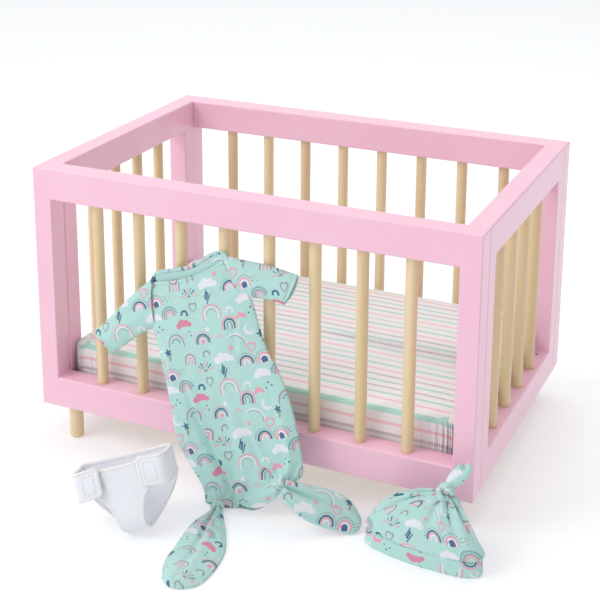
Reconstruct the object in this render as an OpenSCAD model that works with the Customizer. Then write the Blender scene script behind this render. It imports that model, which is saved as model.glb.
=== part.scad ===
// Baby-doll crib set: a painted wooden crib with dowel spindles and turned feet, its mattress and
// fitted sheet, a knotted gown, a knotted cap and a cloth diaper. The gown leans on the crib's
// front, and the cap and the diaper stand on the floor in front of it.
// The origin is on the floor, under the middle of the whole set: X along the crib, Y to the back,
// Z up. Each module is drawn from the middle of the crib's footprint, and in_set() moves it.

/* [Crib] */
// Length over the front and back panels
crib_l = 520; // [420:1:640]
// Width over the front and back panels
crib_w = 355; // [290:1:440]
// Height of the painted panels, without the feet
panel_h = 288; // [230:1:360]
// Height of the feet under the panels
foot_h = 40; // [30:1:60]

/* [Panels] */
// Height of the top rails
top_rail_h = 36; // [30:1:46]
// Height of the bottom rails
bottom_rail_h = 36; // [32:1:46]
// Width of the posts
post_w = 23; // [18:1:30]
// Thickness of the front and back panels
long_t = 26; // [20:1:32]
// Thickness of the two end panels
end_t = 24; // [20:1:30]

/* [Spindles] */
// Diameter of a spindle
spindle_d = 12.7; // [8:0.1:16]
// Depth of a spindle in each rail
spindle_seat = 12; // [8:1:13]
// Spindles in the front and in the back panel
long_count = 8; // [5:1:8]
// Spindles in each end panel
end_count = 4; // [2:1:4]

/* [Feet] */
// Diameter of a foot
foot_d = 16; // [12:0.5:20]
// From the crib's end to the middle of a foot
foot_inset = 37; // [30:1:60]
// Rounding of a foot's lower edge
foot_round = 3; // [1:0.5:5]

/* [Joinery] */
// Diameter of the wooden dowels between posts and rails
dowel_d = 8; // [5:0.5:9]
// Depth of a wooden dowel in each piece
dowel_seat = 12; // [8:1:14]
// Diameter of the steel pins between the panels
pin_d = 6; // [4:0.5:8]
// Depth of a steel pin in a front or back rail
pin_seat_long = 14; // [10:1:18]
// Depth of a steel pin in an end rail
pin_seat_end = 42; // [38:1:50]
// Diameter of the screws that lock the pins
lock_d = 3; // [2.5:0.5:4]
// From an end panel's post to its lock screw
lock_inset = 12; // [8:1:14]
// Diameter of the bolts in the feet
bolt_d = 5; // [4:0.5:6]
// Depth of a foot's bolt in the foot and in the rail
bolt_seat = 18; // [12:1:18]
// Glue or thread space around every round piece in its hole
hole_gap = 0.1; // [0.1:0.05:0.3]

/* [Bed] */
// Thickness of the base board
board_t = 6; // [4:1:10]
// Height and depth of the cleats under the base board
cleat_s = 12; // [8:1:14]
// Height of the base board's underside over the panels' lower edge
board_z = 19; // [15:1:22]
// Space between the base board and the panels
board_gap = 1; // [0.5:0.5:3]
// Height of the mattress core
mattress_h = 44; // [30:1:60]
// Rounding of the mattress's upright corners
mattress_r = 16; // [8:1:30]
// Thickness of the fitted sheet
sheet_t = 1.2; // [0.8:0.1:2]
// Space between the sheet and the panels
mattress_gap = 1.5; // [0.5:0.5:5]

/* [Gown] */
// Width over the neckline
neck_w = 92; // [70:1:110]
// Half the width of the body under the arms
chest_half = 62; // [50:1:75]
// Half the width of the body where it is widest
hip_half = 74; // [60:1:95]
// Distance down from the neckline to the widest place
hip_drop = 178; // [150:1:200]
// Length from the neckline to the knots
gown_l = 252; // [225:1:275]
// Half the distance between the two knots
knot_half = 46; // [35:1:55]
// Thickness of the folded gown
gown_t = 14; // [8:1:18]
// Length of a sleeve along its lower seam
sleeve_l = 56; // [40:1:70]
// Width of a sleeve at its hem
sleeve_w = 32; // [24:1:40]
// Length of a knot's tail
tail_l = 112; // [80:1:120]
// Lean of the gown against the crib, from upright
gown_lean = 11.5; // [8:0.5:16]
// Turn of the gown in its own plane
gown_tilt = 21; // [10:1:25]

/* [Cap] */
// Width of the cap at its brim
cap_w = 127; // [105:1:150]
// Depth of the cap at its brim
cap_d = 36; // [24:1:44]
// Height of the folded brim
cuff_h = 17; // [12:1:24]
// Height of the crown, up to the knot
crown_h = 66; // [50:1:85]
// Thickness of the crown's cloth
cap_t = 2.4; // [1.6:0.1:3.2]

/* [Diaper] */
// Width of the diaper at the waist
diaper_w = 96; // [85:1:125]
// Height of the diaper at the waist
diaper_h = 72; // [65:1:95]
// Depth of the diaper between its front and its back
diaper_d = 34; // [28:1:44]
// Half the width of the crotch
crotch_half = 15; // [12:1:22]
// Height of a side tab
tab_h = 25; // [18:1:30]
// Length of a tab along the front
tab_l = 27; // [18:1:34]
// Thickness of the terry cloth
terry_t = 2.4; // [1.6:0.1:3]

/* [Hidden] */
$fn = 48;
half_l = crib_l / 2;
half_w = crib_w / 2;
panel_z = foot_h;
top_z = foot_h + panel_h;
rail_z0 = panel_z + bottom_rail_h;
rail_z1 = top_z - top_rail_h;
end_len = crib_w - 2 * long_t;
long_open = crib_l - 2 * post_w;
end_open = end_len - 2 * post_w;
long_y = half_w - long_t / 2;
end_x = half_l - end_t / 2;
pin_z_low = panel_z + (bottom_rail_h - dowel_seat) / 2;
pin_z_high = top_z - (top_rail_h - dowel_seat) / 2;
lock_y = end_len / 2 - post_w - lock_inset;
lay_gap = 0.3;
part_gap = 0.5;
crib_x = -14;
crib_y = 99.6;
mattress_z = panel_z + board_z + board_t;
bed_l = crib_l - 2 * end_t - 2 * mattress_gap;
bed_w = end_len - 2 * mattress_gap;

pink = [0.95, 0.76, 0.85];
birch = [0.87, 0.79, 0.64];
steel = [0.75, 0.75, 0.77];
foam = [0.93, 0.91, 0.84];
sheet_white = [0.93, 0.92, 0.91];
mint = [0.73, 0.89, 0.85];
terry = [0.95, 0.95, 0.98];

RAILS = [for (p = ["front", "back", "left", "right"], k = ["top", "bottom"]) str(p, "_", k, "_rail")];
POSTS = concat([for (p = ["front", "back"], s = ["left", "right"]) str(p, "_", s, "_post")],
               [for (p = ["left", "right"], s = ["front", "back"]) str(p, "_", s, "_post")]);
SPINDLES = concat([for (p = ["front", "back"], i = [1 : long_count]) str(p, "_spindle_", i)],
                  [for (p = ["left", "right"], i = [1 : end_count]) str(p, "_spindle_", i)]);
FEET = [for (p = ["front", "back"], s = ["left", "right"]) str("foot_", p, "_", s)];

// ---- where things repeat -------------------------------------------------------------------

function side(name) = (name == "front" || name == "left") ? -1 : 1;
function spindle_at(i, count, opening) = (i - (count + 1) / 2) * opening / (count + 1);

// A hole or rod of diameter d that runs from z0 to z1.
module rod(d, z0, z1) {
    translate([0, 0, z0]) cylinder(d = d, h = z1 - z0);
}

// The blind holes that a row of spindles needs in the rail whose face is at z, going down or up.
module spindle_holes(count, opening, z, dir) {
    for (i = [1 : count])
        translate([spindle_at(i, count, opening), 0, z])
            mirror([0, 0, dir > 0 ? 0 : 1])
                rod(spindle_d + 2 * hole_gap, -1, spindle_seat + hole_gap);
}

// The blind holes for the dowels of the two posts, in the same face.
module post_dowel_holes(opening, z, dir) {
    for (s = [-1, 1])
        translate([s * (opening + post_w) / 2, 0, z])
            mirror([0, 0, dir > 0 ? 0 : 1])
                rod(dowel_d + 2 * hole_gap, -1, dowel_seat + hole_gap);
}

// ---- front and back panels -----------------------------------------------------------------

// A full-length rail with its spindle, dowel and pin holes. level is "top" or "bottom".
module long_rail(panel, level) {
    s = side(panel);
    top = level == "top";
    h = top ? top_rail_h : bottom_rail_h;
    z = top ? rail_z1 : panel_z;
    face = top ? rail_z1 : rail_z0;
    dir = top ? 1 : -1;
    color(pink) difference() {
        translate([-half_l, s * long_y - long_t / 2, z]) cube([crib_l, long_t, h]);
        translate([0, s * long_y, 0]) {
            spindle_holes(long_count, long_open, face, dir);
            post_dowel_holes(long_open, face, dir);
        }
        for (e = [-1, 1])
            translate([e * end_x, s * (half_w - long_t), top ? pin_z_high : pin_z_low])
                rotate([-s * 90, 0, 0]) rod(pin_d + 2 * hole_gap, -1, pin_seat_long + hole_gap);
        if (!top)
            for (e = [-1, 1])
                translate([e * (half_l - foot_inset), s * long_y, panel_z])
                    rod(bolt_d + 2 * hole_gap, -1, bolt_seat + hole_gap);
    }
}

// A post between the two rails, with a dowel hole in each end.
module post(x, y, sx, sy) {
    color(pink) translate([x, y, 0]) difference() {
        translate([-sx / 2, -sy / 2, rail_z0]) cube([sx, sy, rail_z1 - rail_z0]);
        rod(dowel_d + 2 * hole_gap, rail_z0 - 1, rail_z0 + dowel_seat + hole_gap);
        rod(dowel_d + 2 * hole_gap, rail_z1 - dowel_seat - hole_gap, rail_z1 + 1);
    }
}

module long_post(panel, end) {
    post(side(end) * (half_l - post_w / 2), side(panel) * long_y, post_w, long_t);
}

// ---- end panels, between the front and the back panel ------------------------------------------

// An end rail: spindle and dowel holes, a pin hole in each end and the lock screws' holes.
module end_rail(panel, level) {
    s = side(panel);
    top = level == "top";
    h = top ? top_rail_h : bottom_rail_h;
    z = top ? rail_z1 : panel_z;
    face = top ? rail_z1 : rail_z0;
    dir = top ? 1 : -1;
    pin_z = top ? pin_z_high : pin_z_low;
    color(pink) difference() {
        translate([s * end_x - end_t / 2, -end_len / 2, z]) cube([end_t, end_len, h]);
        translate([s * end_x, 0, 0]) rotate([0, 0, 90]) {
            spindle_holes(end_count, end_open, face, dir);
            post_dowel_holes(end_open, face, dir);
        }
        for (e = [-1, 1]) {
            translate([s * end_x, e * end_len / 2, pin_z])
                rotate([e * 90, 0, 0]) rod(pin_d + 2 * hole_gap, -1, pin_seat_end + hole_gap);
            translate([s * end_x, e * lock_y, 0])
                rod(lock_d + 2 * hole_gap, min(pin_z, face - dir), max(pin_z, face - dir));
        }
    }
}

module end_post(panel, end) {
    post(side(panel) * end_x, side(end) * (end_len - post_w) / 2, end_t, post_w);
}

// ---- spindles and feet -------------------------------------------------------------------------

module spindle(x, y) {
    color(birch) translate([x, y, 0]) rod(spindle_d, rail_z0 - spindle_seat, rail_z1 + spindle_seat);
}

module long_spindle(panel, i) {
    spindle(spindle_at(i, long_count, long_open), side(panel) * long_y);
}

module end_spindle(panel, i) {
    spindle(side(panel) * end_x, spindle_at(i, end_count, end_open));
}

// A turned foot with a rounded lower edge and a bolt hole in its top.
module foot(panel, end) {
    r = foot_d / 2;
    corner = [for (a = [0 : 15 : 90]) [r - foot_round + foot_round * sin(a),
                                       foot_round - foot_round * cos(a)]];
    color(birch) translate([side(end) * (half_l - foot_inset), side(panel) * long_y, 0])
        difference() {
            rotate_extrude() polygon(concat([[0, 0]], corner, [[r, foot_h], [0, foot_h]]));
            rod(bolt_d + 2 * hole_gap, foot_h - bolt_seat - hole_gap, foot_h + 1);
        }
}

// ---- dowels, pins, screws and bolts ------------------------------------------------------------

// One dowel at each end of each of the eight posts.
module frame_dowels() {
    places = concat([for (x = [-1, 1], y = [-1, 1]) [x * (half_l - post_w / 2), y * long_y]],
                    [for (x = [-1, 1], y = [-1, 1]) [x * end_x, y * (end_len - post_w) / 2]]);
    color(birch) for (p = places, z = [rail_z0, rail_z1])
        translate([p[0], p[1], z]) rod(dowel_d, -dowel_seat, dowel_seat);
}

// Eight steel pins that join the end rails to the front and back rails.
module connecting_pins() {
    color(steel) for (x = [-1, 1], y = [-1, 1], z = [pin_z_low, pin_z_high])
        translate([x * end_x, y * end_len / 2, z]) rotate([y * 90, 0, 0])
            rod(pin_d, -pin_seat_long, pin_seat_end);
}

// Set screws with a hexagon socket, just under the surface of the end rails.
module lock_screws() {
    sunk = 0.6;
    color(steel) for (x = [-1, 1], y = [-1, 1], top = [0, 1]) {
        from_z = top ? rail_z1 + sunk : pin_z_low + pin_d / 2 + hole_gap;
        to_z = top ? pin_z_high - pin_d / 2 - hole_gap : rail_z0 - sunk;
        translate([x * end_x, y * lock_y, 0]) difference() {
            rod(lock_d, from_z, to_z);
            translate([0, 0, top ? from_z - 1 : to_z - 2]) cylinder(d = lock_d / 2, h = 3, $fn = 6);
        }
    }
}

// A double-ended bolt in the top of each foot.
module foot_bolts() {
    color(steel) for (x = [-1, 1], y = [-1, 1])
        translate([x * (half_l - foot_inset), y * long_y, foot_h]) rod(bolt_d, -bolt_seat, bolt_seat);
}

// ---- bed ---------------------------------------------------------------------------------------

module base_board() {
    l = crib_l - 2 * end_t - 2 * board_gap;
    w = end_len - 2 * board_gap;
    color(birch) translate([-l / 2, -w / 2, panel_z + board_z]) cube([l, w, board_t]);
}

// Two strips glued inside the front and back bottom rails.
module support_cleats() {
    l = crib_l - 2 * end_t - 2 * foot_inset;
    color(birch) for (s = [-1, 1])
        translate([-l / 2, s * (end_len - cleat_s) / 2 - cleat_s / 2, panel_z + board_z - cleat_s])
            cube([l, cleat_s, cleat_s]);
}

// A slab with rounded upright corners, centred on the axis.
module slab(l, w, r, z, h) {
    translate([0, 0, z]) linear_extrude(h) {
        square([l - 2 * r, w], center = true);
        square([l, w - 2 * r], center = true);
        for (x = [-1, 1], y = [-1, 1]) translate([x * (l / 2 - r), y * (w / 2 - r)]) circle(r);
    }
}

module mattress_core() {
    color(foam) slab(bed_l - 2 * sheet_t, bed_w - 2 * sheet_t, mattress_r - sheet_t,
                     mattress_z, mattress_h);
}

// The sheet covers the top and the four sides of the core.
module fitted_sheet() {
    color(sheet_white) difference() {
        slab(bed_l, bed_w, mattress_r, mattress_z, mattress_h + sheet_t);
        slab(bed_l - 2 * sheet_t, bed_w - 2 * sheet_t, mattress_r - sheet_t,
             mattress_z - 1, mattress_h + 1);
    }
}

// ---- gown --------------------------------------------------------------------------------------

// In the gown's own frame the neckline's middle is the origin, X runs to the right, -Y down the
// body and Z out of the front.
shoulder_half = neck_w / 2 + 7;
shoulder_drop = 9;
arm_drop = 52;
hem_shift = 21;
gown_neck_x = -64;
gown_neck_up = 246;
gown_foot_y = -long_y - spindle_d / 2 - lay_gap - (gown_neck_up + 17) * sin(gown_lean);

function hem_side(s) = hem_shift + s * knot_half;

// Puts its children, drawn in the gown's frame, on the plane that leans on the crib.
module on_gown() {
    translate([gown_neck_x, gown_foot_y, 0]) rotate([90 - gown_lean, 0, 0])
        translate([0, gown_neck_up, 0]) rotate([0, 0, gown_tilt]) children();
}

module gown_body() {
    color(mint) on_gown() linear_extrude(gown_t) polygon([
        [-neck_w / 2, 0], [-shoulder_half, -shoulder_drop], [-chest_half, -arm_drop],
        [-(chest_half + hip_half) / 2, -(arm_drop + hip_drop) / 2 + 10],
        [hem_shift / 2 - hip_half, -hip_drop], [hem_side(-1) - 12, -gown_l + 22],
        [hem_side(-1), -gown_l], [hem_shift, -gown_l - 8], [hem_side(1), -gown_l + 12],
        [hem_side(1) + 10, -gown_l + 38], [hem_shift / 2 + hip_half - 4, -hip_drop],
        [(chest_half + hip_half) / 2 + 4, -(arm_drop + hip_drop) / 2],
        [chest_half, -arm_drop], [shoulder_half, -shoulder_drop], [neck_w / 2, 0],
        [neck_w / 6, 9], [-neck_w / 6, 7]]);
}

// Both sleeves hang out and down from the shoulders.
module gown_sleeves() {
    droop = 22;
    out = [sleeve_l * cos(droop), -sleeve_l * sin(droop)];
    hem = [sleeve_w * sin(droop), sleeve_w * cos(droop)];
    under = [chest_half, -arm_drop];
    over = [shoulder_half, -shoulder_drop];
    color(mint) on_gown() for (s = [0, 1]) mirror([s, 0, 0])
        linear_extrude(gown_t) polygon([over, under, under + out, under + out + hem]);
}

// A flat leaf of cloth on the floor, or leaning, from its knot to its round end.
module leaf(l, w, t) {
    hull() {
        cylinder(r = 8, h = t, $fn = 24);
        translate([0.62 * l, 0, 0]) cylinder(r = w / 2, h = t, $fn = 32);
        translate([l - w / 4, 0, 0]) cylinder(r = w / 4, h = t, $fn = 24);
    }
}

// The cloth tails of the two knots: one lies on the floor, the other slopes down to it.
module gown_tails() {
    tail_w = 50;
    color(mint) {
        translate([4, gown_foot_y - 28, lay_gap]) rotate([0, 0, -83]) leaf(tail_l + 14, tail_w + 6, 9);
        translate([80, gown_foot_y - 8, 46.6]) rotate([38, 31, 14]) leaf(0.76 * tail_l, tail_w - 14, 7);
    }
}

// ---- cap ---------------------------------------------------------------------------------------

cap_x = half_l - 35;
cap_y = -half_w - 50;
cap_yaw = -6;
crown_x = 14;
crown_y = 16;

module in_cap() {
    translate([cap_x, cap_y, lay_gap]) rotate([0, 0, cap_yaw]) children();
}

// The crown over its folded brim, shrunk all round by inset.
module crown_shape(inset) {
    r = cap_d / 2 - inset;
    hull() {
        for (x = [-1, 1]) {
            translate([x * (cap_w - cap_d) / 2, 0, 0]) cylinder(r = r, h = 1, $fn = 32);
            translate([x * ((cap_w - cap_d) / 2 - 3), 5, cuff_h + 8]) cylinder(r = r, h = 1, $fn = 32);
            translate([crown_x - 12 + x * 26, crown_y - 4, 0.68 * crown_h])
                sphere(r = 12 - inset, $fn = 24);
        }
        translate([crown_x, crown_y, crown_h - 8]) sphere(r = 8 - inset, $fn = 24);
    }
}

// An open cap: its mouth is on the floor.
module cap_crown() {
    color(mint) in_cap() difference() {
        crown_shape(0);
        translate([0, 0, -0.01]) crown_shape(cap_t);
    }
}

// The knot on the crown and its short tail.
module cap_knot() {
    color(mint) in_cap() hull() {
        translate([crown_x, crown_y, crown_h + 4]) sphere(r = 8, $fn = 24);
        translate([crown_x + 20, crown_y + 8, crown_h + 28]) sphere(r = 8, $fn = 24);
    }
}

// ---- diaper ------------------------------------------------------------------------------------

diaper_x = -52;
diaper_y = -half_w - 133;
diaper_up = 5.6;

// Puts its children, drawn with the crotch at the origin and the front towards -Y, on the floor.
module in_diaper() {
    translate([diaper_x, diaper_y, diaper_up]) rotate([0, 0, 15]) rotate([-17, 0, 0])
        rotate([0, -18, 0]) children();
}

// The front and the back hang from the waist and meet in a round crotch. Each leg opening is a
// quarter of an ellipse, from the crotch up to the tab, cut through both.
module diaper_body() {
    r = diaper_d / 2;
    inner_r = r - terry_t;
    leg_w = diaper_w / 2 - crotch_half;
    leg_h = diaper_h - tab_h;
    outside = [for (a = [180 : 10 : 360]) [r * cos(a), r + r * sin(a)]];
    inside = [for (a = [360 : -10 : 180]) [inner_r * cos(a), r + inner_r * sin(a)]];
    right_leg = [for (a = [0 : 7.5 : 90]) [diaper_w / 2 - leg_w * cos(a), leg_h * sin(a)]];
    left_leg = [for (a = [90 : -7.5 : 0]) [leg_w * cos(a) - diaper_w / 2, leg_h * sin(a)]];
    color(terry) in_diaper() intersection() {
        translate([-diaper_w / 2 - 1, 0, 0]) rotate([90, 0, 90]) linear_extrude(diaper_w + 2)
            polygon(concat([[-r, diaper_h]], outside, [[r, diaper_h], [inner_r, diaper_h]],
                           inside, [[-inner_r, diaper_h]]));
        rotate([90, 0, 0]) translate([0, 0, -diaper_d]) linear_extrude(2 * diaper_d)
            polygon(concat(right_leg, [[diaper_w / 2, diaper_h + 1], [-diaper_w / 2, diaper_h + 1]],
                           left_leg));
    }
}

// A tab that wraps from the back, round the side, onto the front.
module diaper_tab(s) {
    y0 = -diaper_d / 2 - part_gap - terry_t;
    x0 = diaper_w / 2 + part_gap;
    color(terry) in_diaper() mirror([s < 0 ? 1 : 0, 0, 0])
        translate([0, 0, diaper_h - tab_h]) {
            translate([x0, y0, 0]) cube([terry_t, diaper_d / 2 - y0, tab_h]);
            translate([x0 + terry_t - tab_l, y0, 0]) cube([tab_l, terry_t, tab_h]);
        }
}

// ---- the whole set -----------------------------------------------------------------------------

// Moves the crib's middle to its place in the set.
module in_set() {
    translate([crib_x, crib_y, 0]) children();
}

for (p = ["front", "back"], k = ["top", "bottom"])
    in_set() long_rail(p, k);
for (p = ["left", "right"], k = ["top", "bottom"])
    in_set() end_rail(p, k);
for (p = ["front", "back"], e = ["left", "right"])
    in_set() long_post(p, e);
for (p = ["left", "right"], e = ["front", "back"])
    in_set() end_post(p, e);
for (p = ["front", "back"], i = [1 : long_count])
    in_set() long_spindle(p, i);
for (p = ["left", "right"], i = [1 : end_count])
    in_set() end_spindle(p, i);
for (p = ["front", "back"], e = ["left", "right"])
    in_set() foot(p, e);
in_set() frame_dowels();
in_set() connecting_pins();
in_set() lock_screws();
in_set() foot_bolts();
in_set() base_board();
in_set() support_cleats();
in_set() mattress_core();
in_set() fitted_sheet();
in_set() gown_body();
in_set() gown_sleeves();
in_set() gown_tails();
in_set() cap_crown();
in_set() cap_knot();
in_set() diaper_body();
in_set() diaper_tab(-1);  // diaper_tab_left
in_set() diaper_tab(1);  // diaper_tab_right
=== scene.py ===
"""A baby doll's crib set: painted crib with dowel spindles, made mattress, gown, cap and diaper."""

import bmesh
import bpy
import numpy as np
from mathutils import Matrix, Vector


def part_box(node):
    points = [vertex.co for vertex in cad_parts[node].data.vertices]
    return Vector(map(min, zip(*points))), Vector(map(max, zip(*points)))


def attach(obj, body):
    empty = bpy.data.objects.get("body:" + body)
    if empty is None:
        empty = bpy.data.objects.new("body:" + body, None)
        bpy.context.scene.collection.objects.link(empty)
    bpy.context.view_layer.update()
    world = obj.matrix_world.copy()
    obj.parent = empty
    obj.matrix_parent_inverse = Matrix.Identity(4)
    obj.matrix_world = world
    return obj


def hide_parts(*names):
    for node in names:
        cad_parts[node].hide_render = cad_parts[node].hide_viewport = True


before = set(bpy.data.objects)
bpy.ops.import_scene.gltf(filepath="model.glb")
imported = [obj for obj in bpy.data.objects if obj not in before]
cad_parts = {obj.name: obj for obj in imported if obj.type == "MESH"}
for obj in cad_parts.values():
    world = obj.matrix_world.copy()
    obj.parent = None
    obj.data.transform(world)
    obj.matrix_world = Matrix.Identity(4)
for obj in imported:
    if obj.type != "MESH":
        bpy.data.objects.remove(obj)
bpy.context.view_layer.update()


# ---- camera -------------------------------------------------------------------------------------
# It stands in front of the crib's right half, at the height of a seated adult's eyes, and looks
# down on the set through a long lens. The shift keeps the crib's uprights nearly parallel.
crib_low = np.array(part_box("front_bottom_rail")[0])
crib_high = np.array(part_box("back_top_rail")[1])
crib_mid = np.array([(crib_low[0] + crib_high[0]) / 2, (crib_low[1] + crib_high[1]) / 2, 0.0])
azimuth, elevation, roll = np.radians([24.21, 14.7, 0.29])
camera_stand = np.array([0.5948, -1.3528, 0.7794])
lens_length, lens_shift = 80.46, -0.3333
forward = np.array([-np.sin(azimuth) * np.cos(elevation),
                    np.cos(azimuth) * np.cos(elevation), -np.sin(elevation)])
level = np.array([np.cos(azimuth), np.sin(azimuth), 0.0])
aside = level * np.cos(roll) + np.cross(level, forward) * np.sin(roll)
upward = np.cross(aside, forward)
camera_data = bpy.data.cameras.new("camera")
camera_data.sensor_width = 36.0
camera_data.lens = lens_length
camera_data.shift_y = lens_shift
camera = bpy.data.objects.new("camera", camera_data)
bpy.context.scene.collection.objects.link(camera)
turn = np.eye(4)
turn[:3, 0], turn[:3, 1], turn[:3, 2] = aside, upward, -forward
turn[:3, 3] = crib_mid + camera_stand
camera.matrix_world = Matrix(turn.tolist())
bpy.context.scene.camera = camera


# ---- floor and light ----------------------------------------------------------------------------
# A plain pale studio floor, a white room light that is weaker from the right, a large soft lamp in
# front on the left and a weaker one above, so that the right ends are the darkest faces. The floor
# glows a little itself, as a light table does, which keeps the shadows on it pale.
def shader(name, **sockets):
    """A material's node tree, its Principled shader with these sockets set, and the material."""
    material = bpy.data.materials.new(name)
    material.use_nodes = True
    nodes = material.node_tree.nodes
    principled = nodes["Principled BSDF"]
    for socket, value in sockets.items():
        principled.inputs[socket.replace("_", " ")].default_value = value
    return material.node_tree, principled, material


def node(tree, kind, inputs=(), **settings):
    """Adds one shader node, sets its properties, and sets or links its inputs by name or number."""
    made = tree.nodes.new(kind)
    for name, value in settings.items():
        setattr(made, name, value)
    for key, value in dict(inputs).items():
        if isinstance(value, bpy.types.NodeSocket):
            tree.links.new(value, made.inputs[key])
        else:
            made.inputs[key].default_value = value
    return made


floor_size = 12.0
floor_mesh = bpy.data.meshes.new("floor")
floor_corners = np.array([[-1, -1, 0], [1, -1, 0], [1, 1, 0], [-1, 1, 0]]) * floor_size
floor_mesh.from_pydata(floor_corners.tolist(), [], [(0, 1, 2, 3)])
floor = bpy.data.objects.new("floor", floor_mesh)
bpy.context.scene.collection.objects.link(floor)
_, floor_shader, floor_material = shader("studio_floor", Roughness=0.9)
floor_shader.inputs["Base Color"].default_value = (0.64, 0.66, 0.68, 1.0)
floor_shader.inputs["Emission Color"].default_value = (1.0, 1.0, 1.0, 1.0)
floor_shader.inputs["Emission Strength"].default_value = 0.36
floor_shader.inputs["Specular IOR Level"].default_value = 0.1
floor_mesh.materials.append(floor_material)

world = bpy.data.worlds.new("room")
world.use_nodes = True
world.node_tree.nodes["Background"].inputs["Color"].default_value = (1.0, 1.0, 1.0, 1.0)
sky = world.node_tree
room_light, loss_to_right = 0.76, 0.24
direction = node(sky, "ShaderNodeTexCoord").outputs["Generated"]
heading = node(sky, "ShaderNodeSeparateXYZ", {"Vector": direction})
dimmer = node(sky, "ShaderNodeMath", {0: heading.outputs["X"], 1: -loss_to_right, 2: room_light},
              operation="MULTIPLY_ADD")
sky.links.new(dimmer.outputs["Value"], sky.nodes["Background"].inputs["Strength"])
bpy.context.scene.world = world
bpy.context.scene.view_settings.view_transform = "Standard"


def lamp(name, place, size, power, colour):
    """A square area lamp that hangs at place and points at the middle of the crib."""
    data = bpy.data.lights.new(name, "AREA")
    data.shape = "SQUARE"
    data.size = size
    data.energy = power
    data.color = colour
    made = bpy.data.objects.new(name, data)
    bpy.context.scene.collection.objects.link(made)
    made.location = crib_mid + np.array(place)
    target = Matrix.Translation(made.location).inverted() @ Matrix.Translation(crib_mid)
    made.rotation_euler = target.to_translation().to_track_quat("-Z", "Y").to_euler()


lamp("key_lamp", (-1.7, -1.8, 2.3), 1.6, 34.0, (1.0, 0.985, 0.97))
lamp("top_lamp", (0.2, 0.8, 2.4), 1.8, 16.0, (0.97, 0.98, 1.0))


# ---- painted panels -------------------------------------------------------------------------------
# Each of the four sides is two rails and two posts of solid wood, dowelled, glued and sanded flush,
# then sprayed with pink gloss paint, so that it shows as one frame with softly rounded edges. The
# end panels are pinned between the front and the back panel.
def place_mesh(name, points, faces, body, smooth=True):
    """A mesh object at the origin from an array of points and a list of faces, riding on a body."""
    mesh = bpy.data.meshes.new(name)
    mesh.from_pydata(points.tolist(), [], [tuple(f) for f in np.asarray(faces).tolist()])
    mesh.polygons.foreach_set("use_smooth", np.full(len(mesh.polygons), smooth))
    made = bpy.data.objects.new(name, mesh)
    bpy.context.scene.collection.objects.link(made)
    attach(made, body)
    return made


def grid_faces(rows, columns, wrap_rows=False, wrap_columns=False):
    """The quads of a grid of rows by columns points, closed round in one direction or in both."""
    i = np.arange(rows if wrap_rows else rows - 1)[:, None]
    j = np.arange(columns if wrap_columns else columns - 1)[None, :]
    a, b = i * columns + j, i * columns + (j + 1) % columns
    c, d = ((i + 1) % rows) * columns + (j + 1) % columns, ((i + 1) % rows) * columns + j
    return np.stack([a, b, c, d], axis=-1).reshape(-1, 4)


def finish_edges(piece, width, segments):
    """Rounds the piece's sharp edges by width and keeps its flat faces flat in the shading."""
    bevel = piece.modifiers.new("rounded_edges", "BEVEL")
    bevel.width = width
    bevel.segments = segments
    bevel.limit_method = "ANGLE"
    bevel.harden_normals = True


def paint_material():
    """Pink gloss spray paint: a faint orange peel, slow changes of depth and a clear top coat."""
    tree, principled, material = shader("pink_gloss_paint", Roughness=0.32, Coat_Weight=0.35,
                                        Coat_Roughness=0.08, Coat_IOR=1.5)
    place = node(tree, "ShaderNodeTexCoord").outputs["Object"]
    cloudy = node(tree, "ShaderNodeTexNoise", {"Vector": place, "Scale": 9.0, "Detail": 3.0})
    tone = node(tree, "ShaderNodeValToRGB", {"Fac": cloudy.outputs["Fac"]})
    tone.color_ramp.elements[0].position, tone.color_ramp.elements[1].position = 0.3, 0.7
    tone.color_ramp.elements[0].color = (0.860, 0.500, 0.635, 1.0)
    tone.color_ramp.elements[1].color = (0.880, 0.530, 0.660, 1.0)
    tree.links.new(tone.outputs["Color"], principled.inputs["Base Color"])
    fine = node(tree, "ShaderNodeTexNoise", {"Vector": place, "Scale": 420.0, "Detail": 2.0})
    peel = node(tree, "ShaderNodeBump", {"Strength": 0.08, "Distance": 0.0004,
                                         "Height": fine.outputs["Fac"]})
    tree.links.new(peel.outputs["Normal"], principled.inputs["Normal"])
    worn = node(tree, "ShaderNodeMapRange", {"Value": cloudy.outputs["Fac"], "To Min": 0.26,
                                             "To Max": 0.38})
    tree.links.new(worn.outputs["Result"], principled.inputs["Roughness"])
    return material


pink_paint = paint_material()


def panel(name, rails, posts, along):
    """One painted frame: a rectangular bar section carried round the four corners of the panel.

    The outer corners are the box of the rails; the inner ones are where rails and posts meet.
    along is 0 for a panel that runs along X and 1 for one that runs along Y."""
    top_low, top_high = (np.array(c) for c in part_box(rails[0]))
    low, high = (np.array(c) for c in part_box(rails[1]))
    post_low, post_high = (np.array(c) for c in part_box(posts[0]))
    across = 1 - along
    post_width = post_high[along] - post_low[along]
    side = np.array([-1, 1, 1, -1])
    level = np.array([-1, -1, 1, 1])
    middle, half = (low[along] + high[along]) / 2, (high[along] - low[along]) / 2
    points = np.zeros((4, 4, 3))
    for k, (inset, face) in enumerate([(0, 0), (0, 1), (1, 1), (1, 0)]):
        points[:, k, along] = middle + side * (half - inset * post_width)
        points[:, k, across] = (low, high)[face][across]
        points[:, k, 2] = np.where(level < 0, (low[2], high[2])[inset], (top_high[2], top_low[2])[inset])
    faces = grid_faces(4, 4, True, True)
    if along:
        faces = faces[:, ::-1]
    made = place_mesh(name, points.reshape(-1, 3), faces, "crib")
    made.data.materials.append(pink_paint)
    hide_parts(*rails, *posts)
    return made


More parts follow.
